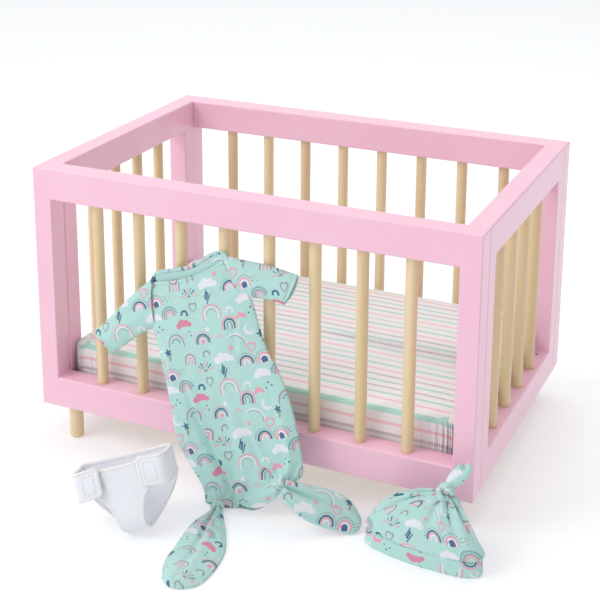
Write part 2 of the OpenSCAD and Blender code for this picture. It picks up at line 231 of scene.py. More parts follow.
def merge_points(piece, distance=2e-6):
    """Merges the points that fall together at a seam or a pole and drops the faces left flat."""
    work = bmesh.new()
    work.from_mesh(piece.data)
    bmesh.ops.remove_doubles(work, verts=work.verts, dist=distance)
    bmesh.ops.dissolve_degenerate(work, edges=work.edges, dist=distance)
    bmesh.ops.recalc_face_normals(work, faces=work.faces)
    work.to_mesh(piece.data)
    work.free()


def rod_points(x, y, heights, radii, count):
    """Rings of points about the upright line at x, y: one ring for each height and radius."""
    angle = np.linspace(0, 2 * np.pi, count, endpoint=False)
    ring = np.stack([np.cos(angle), np.sin(angle), np.zeros(count)], axis=-1)
    points = ring[None] * np.array(radii)[:, None, None]
    return points + np.stack([np.full(len(heights), x), np.full(len(heights), y), heights], -1)[:, None]


def drill(piece, holes, count=32):
    """Cuts upright round holes into a piece. Each hole is (x, y, lower end, upper end, radius)."""
    points, faces = [], []
    for x, y, low, high, radius in holes:
        rings = rod_points(x, y, [low, low, high, high], [0, radius, radius, 0], count)
        faces.append(grid_faces(4, count, False, True) + len(points) * 4 * count)
        points.append(rings.reshape(-1, 3))
    cutter_mesh = bpy.data.meshes.new("cutter")
    cutter_mesh.from_pydata(np.concatenate(points).tolist(), [], np.concatenate(faces).tolist())
    cutter = bpy.data.objects.new("cutter", cutter_mesh)
    bpy.context.scene.collection.objects.link(cutter)
    merge_points(cutter)
    cut = piece.modifiers.new("holes", "BOOLEAN")
    cut.object = cutter
    cut.solver = "EXACT"
    even = piece.modifiers.new("flat_shading", "WEIGHTED_NORMAL")
    even.keep_sharp = True
    bpy.context.view_layer.update()
    shape = piece.evaluated_get(bpy.context.evaluated_depsgraph_get())
    done = bpy.data.meshes.new_from_object(shape)
    piece.modifiers.clear()
    piece.data = done
    bpy.data.objects.remove(cutter)


def upright(name):
    """The middle x and y, lower and upper end and radius of an upright round CAD node."""
    low, high = (np.array(c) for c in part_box(name))
    middle = (low + high) / 2
    return middle[0], middle[1], low[2], high[2], (high[0] - low[0]) / 2


painted = {}
spindle_counts = {"front": 8, "back": 8, "left": 4, "right": 4}
edge_round = 0.0017
glue_gap = 0.0001
screw_low, screw_high = (np.array(c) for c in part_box("lock_screws"))
screw_r = 0.0015
screw_hole_r = 0.0019
screw_hole_depth = 0.005
for panel_name in ("front", "back", "left", "right"):
    ends = ("left", "right") if panel_name in ("front", "back") else ("front", "back")
    painted[panel_name] = panel(panel_name + "_panel",
                                [f"{panel_name}_top_rail", f"{panel_name}_bottom_rail"],
                                [f"{panel_name}_{end}_post" for end in ends],
                                int(panel_name in ("left", "right")))
    finish_edges(painted[panel_name], edge_round, 3)
    holes = []
    for i in range(1, spindle_counts[panel_name] + 1):
        x, y, low, high, radius = upright(f"{panel_name}_spindle_{i}")
        holes.append((x, y, low - glue_gap, high + glue_gap, radius + glue_gap))
    if panel_name in ("left", "right"):
        x = screw_low[0] + screw_r if panel_name == "left" else screw_high[0] - screw_r
        rail_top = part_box(panel_name + "_bottom_rail")[1][2]
        rail_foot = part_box(panel_name + "_top_rail")[0][2]
        for y in (screw_low[1] + screw_r, screw_high[1] - screw_r):
            holes.append((x, y, rail_top - screw_hole_depth, rail_top + edge_round, screw_hole_r))
            holes.append((x, y, rail_foot - edge_round, rail_foot + screw_hole_depth, screw_hole_r))
    drill(painted[panel_name], holes)


# ---- spindles and feet ----------------------------------------------------------------------------
# 24 spindles of plain birch dowel, glued into blind holes in the rails, and four short turned feet
# bolted under the front and back panels. All are sanded and given a thin clear satin lacquer.
def wood_material(name, light, dark, streak):
    """Lacquered wood with its grain along Z: stretched noise for streaks, finer noise for pores."""
    tree, principled, material = shader(name, Coat_Weight=0.15, Coat_Roughness=0.25)
    place = node(tree, "ShaderNodeTexCoord").outputs["Object"]
    long_way = node(tree, "ShaderNodeMapping", {"Vector": place, "Scale": streak})
    grain = node(tree, "ShaderNodeTexNoise", {"Vector": long_way.outputs["Vector"], "Scale": 60.0,
                                              "Detail": 5.0, "Roughness": 0.6})
    each = node(tree, "ShaderNodeMapping", {"Vector": place, "Scale": (1.0, 1.0, 0.0)})
    piece_tone = node(tree, "ShaderNodeTexNoise", {"Vector": each.outputs["Vector"], "Scale": 31.0,
                                                   "Detail": 0.0})
    both = node(tree, "ShaderNodeMath", {0: grain.outputs["Fac"], 1: piece_tone.outputs["Fac"]},
                operation="ADD")
    tone = node(tree, "ShaderNodeMapRange", {"Value": both.outputs["Value"], "From Min": 0.7,
                                             "From Max": 1.3})
    mixed = node(tree, "ShaderNodeMix", {0: tone.outputs["Result"], 6: dark, 7: light},
                 data_type="RGBA")
    tree.links.new(mixed.outputs[2], principled.inputs["Base Color"])
    pores = node(tree, "ShaderNodeTexNoise", {"Vector": long_way.outputs["Vector"],
                                              "Scale": 400.0, "Detail": 2.0})
    bump = node(tree, "ShaderNodeBump", {"Strength": 0.25, "Distance": 0.0002,
                                         "Height": pores.outputs["Fac"]})
    tree.links.new(bump.outputs["Normal"], principled.inputs["Normal"])
    rough = node(tree, "ShaderNodeMapRange", {"Value": pores.outputs["Fac"], "To Min": 0.38,
                                              "To Max": 0.55})
    tree.links.new(rough.outputs["Result"], principled.inputs["Roughness"])
    return material


birch = wood_material("lacquered_birch", (0.80, 0.645, 0.405, 1.0), (0.66, 0.49, 0.275, 1.0),
                      (1.0, 1.0, 0.04))


def turned(name, x, y, heights, radii, body, count=40):
    """A round piece: the outline of heights and radii turned about the upright line at x, y."""
    points = rod_points(x, y, heights, radii, count)
    made = place_mesh(name, points.reshape(-1, 3), grid_faces(len(heights), count, False, True),
                      body)
    merge_points(made)
    soft = made.modifiers.new("smooth_sides", "WEIGHTED_NORMAL")
    soft.keep_sharp = True
    return made


end_round = 0.0008
for panel_name, amount in spindle_counts.items():
    for i in range(1, amount + 1):
        cad_name = f"{panel_name}_spindle_{i}"
        x, y, low, high, radius = upright(cad_name)
        levels = [low, low, low + end_round, high - end_round, high, high]
        widths = [0, radius - end_round, radius, radius, radius - end_round, 0]
        spindle = turned("visible_" + cad_name, x, y, levels, widths, "crib")
        spindle.data.materials.append(birch)
        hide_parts(cad_name)

foot_round = 0.003
for cad_name in [f"foot_{p}_{e}" for p in ("front", "back") for e in ("left", "right")]:
    x, y, low, high, radius = upright(cad_name)
    bend = np.linspace(0, np.pi / 2, 7)
    levels = [low, *(low + foot_round * (1 - np.cos(bend))), high - end_round, high, high]
    widths = [0, *(radius - foot_round * (1 - np.sin(bend))), radius, radius - end_round, 0]
    foot = turned("visible_" + cad_name, x, y, levels, widths, "crib")
    foot.data.materials.append(birch)
    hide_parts(cad_name)


# ---- hidden joinery and base ----------------------------------------------------------------------
# Birch dowels in the posts, zinc-plated steel pins, set screws and foot bolts, and a sanded plywood
# base board on two cleats that are screwed inside the front and back panels.
def repaint(name, material):
    """Gives a CAD node this material in place of its own."""
    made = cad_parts[name]
    made.data.materials.clear()
    made.data.materials.append(material)


steel_tree, steel_shader, steel = shader("zinc_plated_steel", Metallic=1.0, Roughness=0.35)
steel_place = node(steel_tree, "ShaderNodeTexCoord").outputs["Object"]
steel_spots = node(steel_tree, "ShaderNodeTexNoise", {"Vector": steel_place, "Scale": 300.0})
steel_tone = node(steel_tree, "ShaderNodeMix", {0: steel_spots.outputs["Fac"], 6: (0.5, 0.5, 0.53, 1),
                                                7: (0.68, 0.68, 0.7, 1)}, data_type="RGBA")
steel_tree.links.new(steel_tone.outputs[2], steel_shader.inputs["Base Color"])
plywood = wood_material("sanded_plywood", (0.74, 0.57, 0.36, 1.0), (0.62, 0.45, 0.26, 1.0),
                        (0.05, 1.0, 1.0))
for cad_name in ("connecting_pins", "lock_screws", "foot_bolts"):
    repaint(cad_name, steel)
repaint("frame_dowels", birch)
for cad_name in ("base_board", "support_cleats"):
    repaint(cad_name, plywood)
    finish_edges(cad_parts[cad_name], 0.0008, 2)


# ---- mattress and fitted sheet --------------------------------------------------------------------
# A foam block with rounded corners lies on the base board. Its fitted sheet is one piece of white
# cotton, printed with thin lengthwise stripes, darted at the corners and tucked under the edge.
def cloth_surface(name, points, uv, body, cloth):
    """A surface from a grid of points, with a map of uv lengths in metres for its print.

    cloth is a pair of the cloth's slot name, which is not used, and its material."""
    rows, columns = points.shape[:2]
    faces = grid_faces(rows, columns)
    made = place_mesh(name, points.reshape(-1, 3), faces, body)
    made.data.materials.append(cloth[1])
    layer = made.data.uv_layers.new(name="cloth")
    layer.data.foreach_set("uv", uv.reshape(-1, 2)[faces.reshape(-1)].astype(np.float32).reshape(-1))
    merge_points(made)
    return made


def thicken(piece, thickness, offset=0.0):
    """Gives a cloth surface a real thickness, closed at its rims."""
    solid = piece.modifiers.new("cloth_thickness", "SOLIDIFY")
    solid.thickness = thickness
    solid.offset = offset
    solid.use_even_offset = False


def calc(tree, operation, *values):
    """One number worked out from others by a math node."""
    return node(tree, "ShaderNodeMath", dict(enumerate(values)), operation=operation).outputs[0]


def mix(tree, amount, below, above):
    """The colour below, covered by the colour above where amount is 1."""
    made = node(tree, "ShaderNodeMix", {0: amount, 6: below, 7: above}, data_type="RGBA")
    return made.outputs[2]


def weave(tree, principled, pitch, depth, strength):
    """A fine crossed thread relief at this pitch in metres, on the cloth's own map."""
    place = node(tree, "ShaderNodeUVMap", uv_map="cloth").outputs["UV"]
    parts = node(tree, "ShaderNodeSeparateXYZ", {0: place})
    turns = 2 * np.pi / pitch
    across = calc(tree, "SINE", calc(tree, "MULTIPLY", parts.outputs[0], turns))
    along = calc(tree, "SINE", calc(tree, "MULTIPLY", parts.outputs[1], turns))
    rough = node(tree, "ShaderNodeTexNoise", {"Vector": place, "Scale": 900.0, "Detail": 2.0})
    both = calc(tree, "MULTIPLY_ADD", across, along, rough.outputs["Fac"])
    bump = node(tree, "ShaderNodeBump", {"Strength": strength, "Distance": depth, "Height": both})
    tree.links.new(bump.outputs["Normal"], principled.inputs["Normal"])
    return place, parts


def stripe_material():
    """White cotton with stripes in four colours: each stripe takes the colour of its number."""
    tree, principled, material = shader("striped_cotton", Roughness=0.85, Sheen_Weight=0.12,
                                        Sheen_Roughness=0.5)
    principled.inputs["Specular IOR Level"].default_value = 0.2
    place, parts = weave(tree, principled, 0.0007, 0.0002, 0.25)
    pitch, width = 0.0126, 0.0036
    number = calc(tree, "DIVIDE", calc(tree, "ADD", parts.outputs[1], 0.5), pitch)
    near = calc(tree, "ABSOLUTE", calc(tree, "SUBTRACT", calc(tree, "FRACT", number), 0.5))
    fuzz = node(tree, "ShaderNodeTexNoise", {"Vector": place, "Scale": 700.0})
    edge = calc(tree, "MULTIPLY_ADD", calc(tree, "SUBTRACT", fuzz.outputs["Fac"], 0.5), 0.06, near)
    line = calc(tree, "LESS_THAN", edge, width / pitch / 2)
    order = calc(tree, "MODULO", calc(tree, "FLOOR", number), 8.0)
    grey, teal, pink, green = ((0.50, 0.47, 0.49, 1), (0.30, 0.66, 0.58, 1), (0.84, 0.50, 0.54, 1),
                               (0.52, 0.72, 0.57, 1))
    colour = (0.84, 0.83, 0.83, 1)
    tone = teal
    for k, paint in enumerate((teal, grey, pink, teal, green, pink, teal, grey)):
        tone = mix(tree, calc(tree, "COMPARE", order, float(k), 0.4), tone, paint)
    cover = calc(tree, "MULTIPLY", line, 0.74)
    tree.links.new(mix(tree, cover, colour, tone), principled.inputs["Base Color"])
    return material


striped = ("sheet_cloth", stripe_material())
foam_tree, foam_shader, foam_material = shader("foam", Roughness=0.95)
foam_place = node(foam_tree, "ShaderNodeTexCoord").outputs["Object"]
foam_cells = node(foam_tree, "ShaderNodeTexVoronoi", {"Vector": foam_place, "Scale": 700.0})
foam_tone = mix(foam_tree, foam_cells.outputs["Distance"], (0.84, 0.80, 0.66, 1), (0.7, 0.65, 0.5, 1))
foam_tree.links.new(foam_tone, foam_shader.inputs["Base Color"])

sheet_low, sheet_high = (np.array(c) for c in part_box("fitted_sheet"))
sheet_mid, sheet_half = (sheet_low + sheet_high) / 2, (sheet_high - sheet_low) / 2
edge_r = 0.007
around, side_rows, bend_rows, top_rows = 720, 24, 9, 36
dart_reach = 0.030
lap = np.linspace(0, 2 * np.pi, around + 1)
squareness = 2 / 14.0
ring_x = np.sign(np.cos(lap)) * np.abs(np.cos(lap)) ** squareness
ring_y = np.sign(np.sin(lap)) * np.abs(np.sin(lap)) ** squareness
flat_x = np.clip(ring_x * sheet_half[0] * 1.02, -sheet_half[0], sheet_half[0])
flat_y = np.clip(ring_y * sheet_half[1] * 1.02, -sheet_half[1], sheet_half[1])
from_corner_sq = (np.abs(flat_x) - sheet_half[0]) ** 2 + (np.abs(flat_y) - sheet_half[1]) ** 2
corner = np.exp(-from_corner_sq / (2 * dart_reach ** 2))
side_h = sheet_high[2] - sheet_low[2]
bend = np.linspace(0, np.pi / 2, bend_rows)
drop = np.concatenate([np.linspace(side_h, edge_r, side_rows)[:-1], edge_r * (1 - np.sin(bend))])
inset = np.concatenate([np.zeros(side_rows - 1), edge_r * (1 - np.cos(bend))])
rows_xyz, rows_uv = [], []
pucker = np.sin(lap * 150) * corner * 0.0011 + np.sin(lap * 61 + 1.0) * corner * 0.0009
for down, into in zip(drop, inset):
    share_x = (sheet_half[0] - into) / sheet_half[0]
    share_y = (sheet_half[1] - into) / sheet_half[1]
    sag = pucker * (0.4 + 0.6 * np.sin(np.pi * min(down / side_h, 1.0)))
    x, y = flat_x * share_x * (1 - sag / 0.2), flat_y * share_y * (1 - sag / 0.15)
    long_side = (np.abs(flat_y) / sheet_half[1]) > (np.abs(flat_x) / sheet_half[0])
    run = down + into
    v = np.where(long_side, flat_y + np.sign(flat_y) * run, flat_y)
    u = np.where(long_side, flat_x, flat_x + np.sign(flat_x) * run)
    rows_xyz.append(np.stack([x, y, np.full_like(x, sheet_half[2] - down)], -1))
    rows_uv.append(np.stack([u, v], -1))
for k in np.linspace(1.0, 0.0, top_rows)[1:]:
    x = flat_x * (1 - edge_r / sheet_half[0]) * k
    y = flat_y * (1 - edge_r / sheet_half[1]) * k
    wave = 0.0004 * np.sin(x * 40 + 2 * np.sin(y * 30)) * (1 - k ** 4)
    pull = corner * 0.0014 * np.sin(lap * 90) * np.exp(-((1 - k) / 0.08) ** 2) * (1 - k) / 0.08
    rows_xyz.append(np.stack([x, y, sheet_half[2] - 0.0016 * k ** 6 + wave + pull], -1))
    rows_uv.append(np.stack([x, y], -1))
sheet_points = np.array(rows_xyz) + sheet_mid
fitted = cloth_surface("striped_fitted_sheet", sheet_points, np.array(rows_uv), "mattress", striped)
thicken(fitted, 0.0006, -1.0)
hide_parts("fitted_sheet")
core_share = np.array([0.988, 0.983, 0.930])    # how far inside the sheet the foam stays
core_rows = (np.array(rows_xyz) * core_share + sheet_mid)[::6]
core_top = core_rows[-1:].mean(axis=1, keepdims=True) + np.zeros_like(core_rows[:1])
core_rows = np.concatenate([core_rows[:1] * [0, 0, 1] + sheet_mid * [1, 1, 0], core_rows, core_top])
core = cloth_surface("foam_core", core_rows, np.zeros(core_rows.shape[:2] + (2,)), "mattress",
                     ("foam", foam_material))
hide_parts("mattress_core")


# ---- printed jersey -------------------------------------------------------------------------------
# The gown and the cap are cut from one soft cotton jersey in pale mint, printed all over with small
# drawings in navy, pink, deep pink, grey and white. The print repeats every 112 by 80 mm.
def print_material():
    """Mint jersey. Each drawing is a few circles, strokes and dots about its own middle."""
    tree, principled, material = shader("printed_jersey", Roughness=0.88, Sheen_Weight=0.25,
                                        Sheen_Roughness=0.45)
    principled.inputs["Specular IOR Level"].default_value = 0.15
    place, _ = weave(tree, principled, 0.0009, 0.0003, 0.35)
    threads = principled.inputs["Normal"].links[0].from_node
    slack = node(tree, "ShaderNodeTexNoise", {"Vector": place, "Scale": 34.0, "Detail": 3.0})
    soft = node(tree, "ShaderNodeBump", {"Strength": 0.5, "Distance": 0.003,
                                         "Height": slack.outputs["Fac"]})
    tree.links.new(soft.outputs["Normal"], threads.inputs["Normal"])
    half_repeat = (56.0, 40.0, 1.0)    # half the repeat of the print, in millimetres
    drawing_scale = 1.28
    scaled = node(tree, "ShaderNodeVectorMath", {0: place, 1: (1000.0, 1000.0, 1000.0)},
                  operation="MULTIPLY").outputs[0]
    cover = {}

    def add(colour, mask):
        """Adds a drawing's mask to what this ink covers."""
        cover[colour] = calc(tree, "MAXIMUM", cover[colour], mask) if colour in cover else mask

    def both(a, b):
        """One mask where both masks are 1."""
        return calc(tree, "MULTIPLY", a, b)

    def start(x, y, turn):
        """The x, y, radius and angle in turns about a drawing's middle, in millimetres."""
        moved = node(tree, "ShaderNodeVectorMath", {0: scaled, 1: (x, y, 0)}, operation="SUBTRACT")
        inside = node(tree, "ShaderNodeVectorMath", {0: moved.outputs[0], 1: half_repeat,
                                                     2: tuple(-c for c in half_repeat)},
                      operation="WRAP").outputs[0]
        inside = node(tree, "ShaderNodeVectorMath", {0: inside, 3: 1 / drawing_scale},
                      operation="SCALE").outputs[0]
        turned_to = node(tree, "ShaderNodeVectorRotate", {"Vector": inside, "Angle": np.radians(turn)},
                         rotation_type="Z_AXIS").outputs[0]
        parts = node(tree, "ShaderNodeSeparateXYZ", {0: turned_to})
        radius = node(tree, "ShaderNodeVectorMath", {0: turned_to}, operation="LENGTH").outputs[1]
        angle = calc(tree, "ARCTAN2", parts.outputs[1], parts.outputs[0])
        return parts.outputs[0], parts.outputs[1], radius, angle, turned_to

    def dashed(angle, count, share):
        """Count dashes round the circle, each taking this share of its step."""
        steps = calc(tree, "MULTIPLY", angle, count / (2 * np.pi))
        return calc(tree, "COMPARE", calc(tree, "FRACT", calc(tree, "ADD", steps, 100.0)), 0.5, share / 2)

    def arch(x, y, turn, rings, floor_y=-1.5):
        """Half rings: each is (radius, half width, colour, dashes round the circle or 0)."""
        px, py, _, _, _ = start(x, y, turn)
        round_y = calc(tree, "MAXIMUM", py, 0.0)
        radius = calc(tree, "SQRT", calc(tree, "MULTIPLY_ADD", px, px, both(round_y, round_y)))
        angle = calc(tree, "ARCTAN2", round_y, px)
        above = calc(tree, "GREATER_THAN", py, floor_y)
        for ring_radius, half, colour, dashes in rings:
            band = both(calc(tree, "COMPARE", radius, ring_radius, half), above)
            if dashes:
                band = both(band, dashed(angle, dashes, 0.5))
            add(colour, band)

    def discs(x, y, turn, spots, colour):
        """Filled circles: each is (x, y, radius)."""
        _, _, _, _, at = start(x, y, turn)
        for sx, sy, size in spots:
            far = node(tree, "ShaderNodeVectorMath", {0: at, 1: (sx, sy, 0)}, operation="DISTANCE")
            add(colour, calc(tree, "LESS_THAN", far.outputs[1], size))

    def cloud(x, y, colour, size=1.0):
        """Four overlapping discs."""
        discs(x, y, 0, [(-5 * size, -0.6, 2.6 * size), (-1.5 * size, 1.2, 3.4 * size),
                        (2.6 * size, 0.6, 3.0 * size), (5.8 * size, -0.8, 2.1 * size)], colour)

    def heart(x, y, colour, size=3.4, turn=8):
        """A heart's outline: the circle x^2 + (y - 1.45 sqrt|x|)^2 = size^2."""
        px, py, _, _, _ = start(x, y, turn)
        lift = calc(tree, "MULTIPLY", calc(tree, "SQRT", calc(tree, "ABSOLUTE", px)), 1.45)
        low = calc(tree, "SUBTRACT", py, lift)
        wide = both(px, px)
        far = calc(tree, "SQRT", calc(tree, "MULTIPLY_ADD", low, low, wide))
        add(colour, calc(tree, "COMPARE", far, size, 0.62))

    def star(x, y, colour, size=3.2, turn=0):
        """A star of five points: its edge goes straight in and out with the angle."""
        _, _, radius, angle, _ = start(x, y, turn)
        points = calc(tree, "MULTIPLY", calc(tree, "ADD", angle, 10 * np.pi), 5 / np.pi)
        saw = calc(tree, "PINGPONG", points, 1.0)
        reach = calc(tree, "MULTIPLY_ADD", saw, size * 0.62, size * 0.38)
        add(colour, calc(tree, "LESS_THAN", radius, reach))

    def rays(x, y, turn=0):
        """A sunrise: strokes in three colours over a small half disc."""
        _, py, radius, angle, _ = start(x, y, turn)
        band = both(calc(tree, "COMPARE", radius, 5.4, 2.6), calc(tree, "GREATER_THAN", py, 0.3))
        steps = calc(tree, "MULTIPLY", angle, 7 / np.pi)
        stroke = both(band, calc(tree, "COMPARE", calc(tree, "FRACT", steps), 0.5, 0.2))
        number = calc(tree, "MODULO", calc(tree, "FLOOR", steps), 3.0)
        for k, colour in enumerate(("pink", "navy", "grey")):
            add(colour, both(stroke, calc(tree, "COMPARE", number, float(k), 0.3)))
        add("grey", both(calc(tree, "LESS_THAN", radius, 1.9), calc(tree, "GREATER_THAN", py, -0.4)))

    def stroke(x, y, turn, length, half, colour):
        """A straight pen stroke."""
        px, py, _, _, _ = start(x, y, turn)
        add(colour, both(calc(tree, "COMPARE", px, 0.0, half), calc(tree, "COMPARE", py, 0.0, length / 2)))

    def bolt(x, y):
        """Three slanted strokes with three dots beside them."""
        stroke(x - 1.3, y + 2.4, 24, 8.0, 0.55, "navy")
        stroke(x, y, 20, 7.0, 0.9, "navy")
        stroke(x + 1.4, y - 3.2, 26, 8.0, 0.55, "navy")
        discs(x, y, 0, [(-4.0, 0.5, 0.7), (3.8, 1.5, 0.7), (2.6, -1.6, 0.6)], "pink")

    def meteor(x, y, turn=38):
        """A small star at the end of a curved double trail."""
        arch(x + 2, y - 3, turn, [(9.5, 0.55, "white", 0), (8.2, 0.35, "grey", 0)], 3.0)
        star(x - 5, y - 4.5, "pink", 2.7, 10)

    arch(0, 0, 0, [(6.0, 0.7, "navy", 0), (4.4, 0.7, "grey", 0), (3.1, 0.5, "white", 0),
                   (8.0, 0.75, "pink", 22), (0.8, 1.1, "pink", 0)])
    discs(21, 3, 0, [(-2.4, 0, 0.6), (0, 1.6, 0.7), (2.2, 0.3, 0.6), (0.4, -1.6, 0.6)], "pink")
    meteor(35, -8)
    heart(53, -18, "pink")
    arch(-21, -16, 8, [(4.4, 0.75, "grey", 0), (1.9, 0.6, "pink", 0), (3.1, 0.4, "white", 0)], -4.5)
    arch(0, -14, -10, [(2.9, 0.75, "grey", 0)])
    cloud(19, -21.5, "white", 1.15)
    arch(44, -31, 0, [(5.6, 0.75, "navy", 0), (3.9, 0.7, "pink", 0), (2.4, 0.6, "white", 0),
                      (7.9, 0.6, "grey", 44)])
    arch(61, -33, 12, [(2.4, 0.75, "pink", 0)])
    discs(-34, -27, 0, [(-2.4, 1.6, 0.6), (0.2, 2.2, 0.6), (2.4, 0.6, 0.6), (-0.6, -0.4, 0.6),
                        (1.0, -2.4, 0.6), (-2.8, -1.6, 0.6)], "grey")
    rays(-5.5, -31)
    bolt(16, -34)
    cloud(58, -45, "white", 1.0)
    heart(-4, -44, "grey", 3.1)
    arch(17, -54, 0, [(8.2, 0.6, "pink", 0), (6.4, 0.5, "white", 0), (4.6, 0.6, "grey", 26)], -4.0)
    arch(38.5, -54, 10, [(2.7, 0.75, "white", 0)])
    arch(-15.5, -47.5, 15, [(2.6, 0.9, "navy", 0)])
    arch(-34, -46, -8, [(5.2, 0.7, "grey", 0), (3.4, 0.7, "pink", 0), (7.4, 0.8, "navy", 40)])
    cloud(-19, -58, "deep", 0.95)
    arch(35, -68, 4, [(4.4, 0.75, "navy", 0), (2.0, 0.6, "grey", 0), (6.3, 0.7, "pink", 0)], -4.0)
    discs(55, -77, 0, [(0, 0, 4.6)], "white")
    discs(56.6, -75.8, 0, [(0, 0, 3.5)], "mint")
    star(-46, -4, "navy", 3.6, 4)
    stroke(-45, -9.5, 12, 6.0, 1.0, "grey")
    discs(-50, -58, 0, [(0, 2.2, 0.75), (2.6, -0.6, 0.8), (-2.4, -1.8, 0.7)], "navy")
    discs(-20, -71, 0, [(1.5, 1.2, 0.8), (-1.4, -1.6, 0.8)], "pink")
    discs(-16, -68, 0, [(1.5, 1.2, 0.7), (2.4, -2.4, 0.7)], "navy")
    star(8, -68, "white", 2.6, 20)
    discs(22, -79, 0, [(-2.4, 0.6, 0.7), (0, 2.0, 0.7), (1.8, -0.6, 0.7)], "pink")
    arch(-33, -76, 5, [(7.2, 0.6, "grey", 0), (5.6, 0.5, "pink", 26), (3.6, 0.8, "navy", 20)], -3.0)
    arch(-48, -31, -6, [(5.0, 0.7, "pink", 0), (3.4, 0.8, "white", 0), (1.3, 1.3, "navy", 0),
                        (7.4, 0.7, "grey", 24)], -2.5)
    cloud(50, -62, "pink", 0.6)

    heather = node(tree, "ShaderNodeTexNoise", {"Vector": place, "Scale": 1500.0, "Detail": 2.0})
    broad = node(tree, "ShaderNodeTexNoise", {"Vector": place, "Scale": 260.0, "Detail": 2.0})
    half_fine = calc(tree, "MULTIPLY", heather.outputs["Fac"], 0.5)
    flecks = calc(tree, "MULTIPLY_ADD", broad.outputs["Fac"], 0.5, half_fine)
    ground = mix(tree, flecks, (0.37, 0.63, 0.59, 1), (0.55, 0.79, 0.75, 1))
    paints = {"white": (0.82, 0.80, 0.87, 1), "grey": (0.34, 0.31, 0.36, 1),
              "pink": (0.86, 0.31, 0.45, 1), "deep": (0.72, 0.20, 0.33, 1),
              "navy": (0.012, 0.105, 0.235, 1)}
    colour = ground
    ink = calc(tree, "MULTIPLY_ADD", heather.outputs["Fac"], 0.35, 0.7)
    for name in ("white", "mint", "grey", "pink", "deep", "navy"):
        if name == "mint":
            colour = mix(tree, cover[name], colour, ground)
        else:
            colour = mix(tree, both(cover[name], ink), colour, paints[name])
    tree.links.new(colour, principled.inputs["Base Color"])
    return material


jersey = ("printed_jersey", print_material())
cloth_t = 0.0009


# ---- gown body ------------------------------------------------------------------------------------
# A long tube of jersey that leans on the spindles: a front and a back panel, sewn down the sides,
# with an envelope neck whose back edge laps over the right shoulder. It is gathered at both lower
# corners by the knots, and its lowest part bends forward on the floor.
def spline(points, count):
    """count points evenly along a smooth curve through the points given."""
    p = np.asarray(points, float)
    ends = np.concatenate([[2 * p[0] - p[1]], p, [2 * p[-1] - p[-2]]])
    fine = []
    s = np.linspace(0, 1, 24, endpoint=False)[:, None]
    for a, b, c, d in zip(ends[:-3], ends[1:-2], ends[2:-1], ends[3:]):
        fine.append(0.5 * (2 * b + (c - a) * s + (2 * a - 5 * b + 4 * c - d) * s ** 2
                           + (3 * b - a - 3 * c + d) * s ** 3))
    fine = np.concatenate(fine + [p[-1:]])
    steps = np.concatenate([[0], np.cumsum(np.linalg.norm(np.diff(fine, axis=0), axis=1))])
    at = np.linspace(0, steps[-1], count)
    return np.stack([np.interp(at, steps, fine[:, k]) for k in range(p.shape[1])], -1)


def patch(top, bottom, left, right, rows, columns):
    """A grid that fills four smooth border curves, which share their corners."""
    t, b = spline(top, columns)[None], spline(bottom, columns)[None]
    l, r = spline(left, rows)[:, None], spline(right, rows)[:, None]
    v, u = np.linspace(0, 1, rows)[:, None, None], np.linspace(0, 1, columns)[None, :, None]
    corners = ((1 - u) * (1 - v) * t[:, :1] + u * (1 - v) * t[:, -1:]
               + (1 - u) * v * b[:, :1] + u * v * b[:, -1:])
    return (1 - v) * t + v * b + (1 - u) * l + u * r - corners


gown_lean, gown_tilt = np.radians(11.5), np.radians(21.0)
gown_foot = np.array([crib_mid[0] - 0.064, crib_mid[1] - 0.22358, 0.0])
neck_up = 0.246
floor_bend = 0.015


def in_gown(t, s, h):
    """From the gown laid flat (t right, s down from the neck, h up, in mm) to where it leans.

    The flat gown is tilted in its plane, the plane leans back, and its foot bends out forward."""
    t, s, h = (np.asarray(c) / 1000.0 for c in (t, s, h))
    x = t * np.cos(gown_tilt) + s * np.sin(gown_tilt)
    up = t * np.sin(gown_tilt) - s * np.cos(gown_tilt) + neck_up
    rise = np.pi / 2 - gown_lean
    drop = floor_bend * (1 - np.cos(rise))
    straight = (drop + 0.0006) / np.sin(rise)
    below = np.clip(straight - up, 0, None)
    angle = rise - np.clip(below / floor_bend, 0, rise)
    flat = np.clip(below - floor_bend * rise, 0, None)
    kept = np.clip(up, straight, None)
    y = kept * np.cos(rise) - floor_bend * (np.sin(rise) - np.sin(angle)) - flat
    z = kept * np.sin(rise) - floor_bend * (np.cos(angle) - np.cos(rise))
    return np.stack([gown_foot[0] + x, gown_foot[1] + y - h * np.sin(angle), z + h * np.cos(angle)], -1)


def near_line(t, s, line):
    """The distance from each point to a bent line, and on which side of it the point lies."""
    line = spline(line, 40)
    best, side = np.full(t.shape, 1e9), np.zeros(t.shape)
    for a, b in zip(line[:-1], line[1:]):
        d = b - a
        k = np.clip(((t - a[0]) * d[0] + (s - a[1]) * d[1]) / (d @ d), 0, 1)
        off_t, off_s = t - a[0] - k * d[0], s - a[1] - k * d[1]
        far = np.hypot(off_t, off_s)
        side = np.where(far < best, np.sign(d[0] * off_s - d[1] * off_t), side)
        best = np.minimum(best, far)
    return best, side


left_side = [(-53, 11), (-56, 31), (-61, 54), (-59, 66), (-60, 97), (-61, 132), (-64, 171), (-58, 200),
             (-48, 226), (-45, 252)]
right_side = [(49, 1), (47, 18), (57, 33), (64, 46), (67, 97), (75, 127), (79, 156), (79, 194),
              (74, 233), (65, 239)]
hem = [(-45, 252), (-31, 259), (-8, 261), (11, 265), (33, 256), (48, 247), (65, 239)]
front_neck = [(-53, 11), (-44, 9), (-21, 12), (6, 12), (28, 8), (44, 3), (49, 1)]
back_neck = [(-53, 11), (-47, 1), (-35, -2), (0, 0), (30, -7), (41, -7), (48, -4), (49, 1)]
knots = ((-32.0, 258.0), (55.0, 242.0))


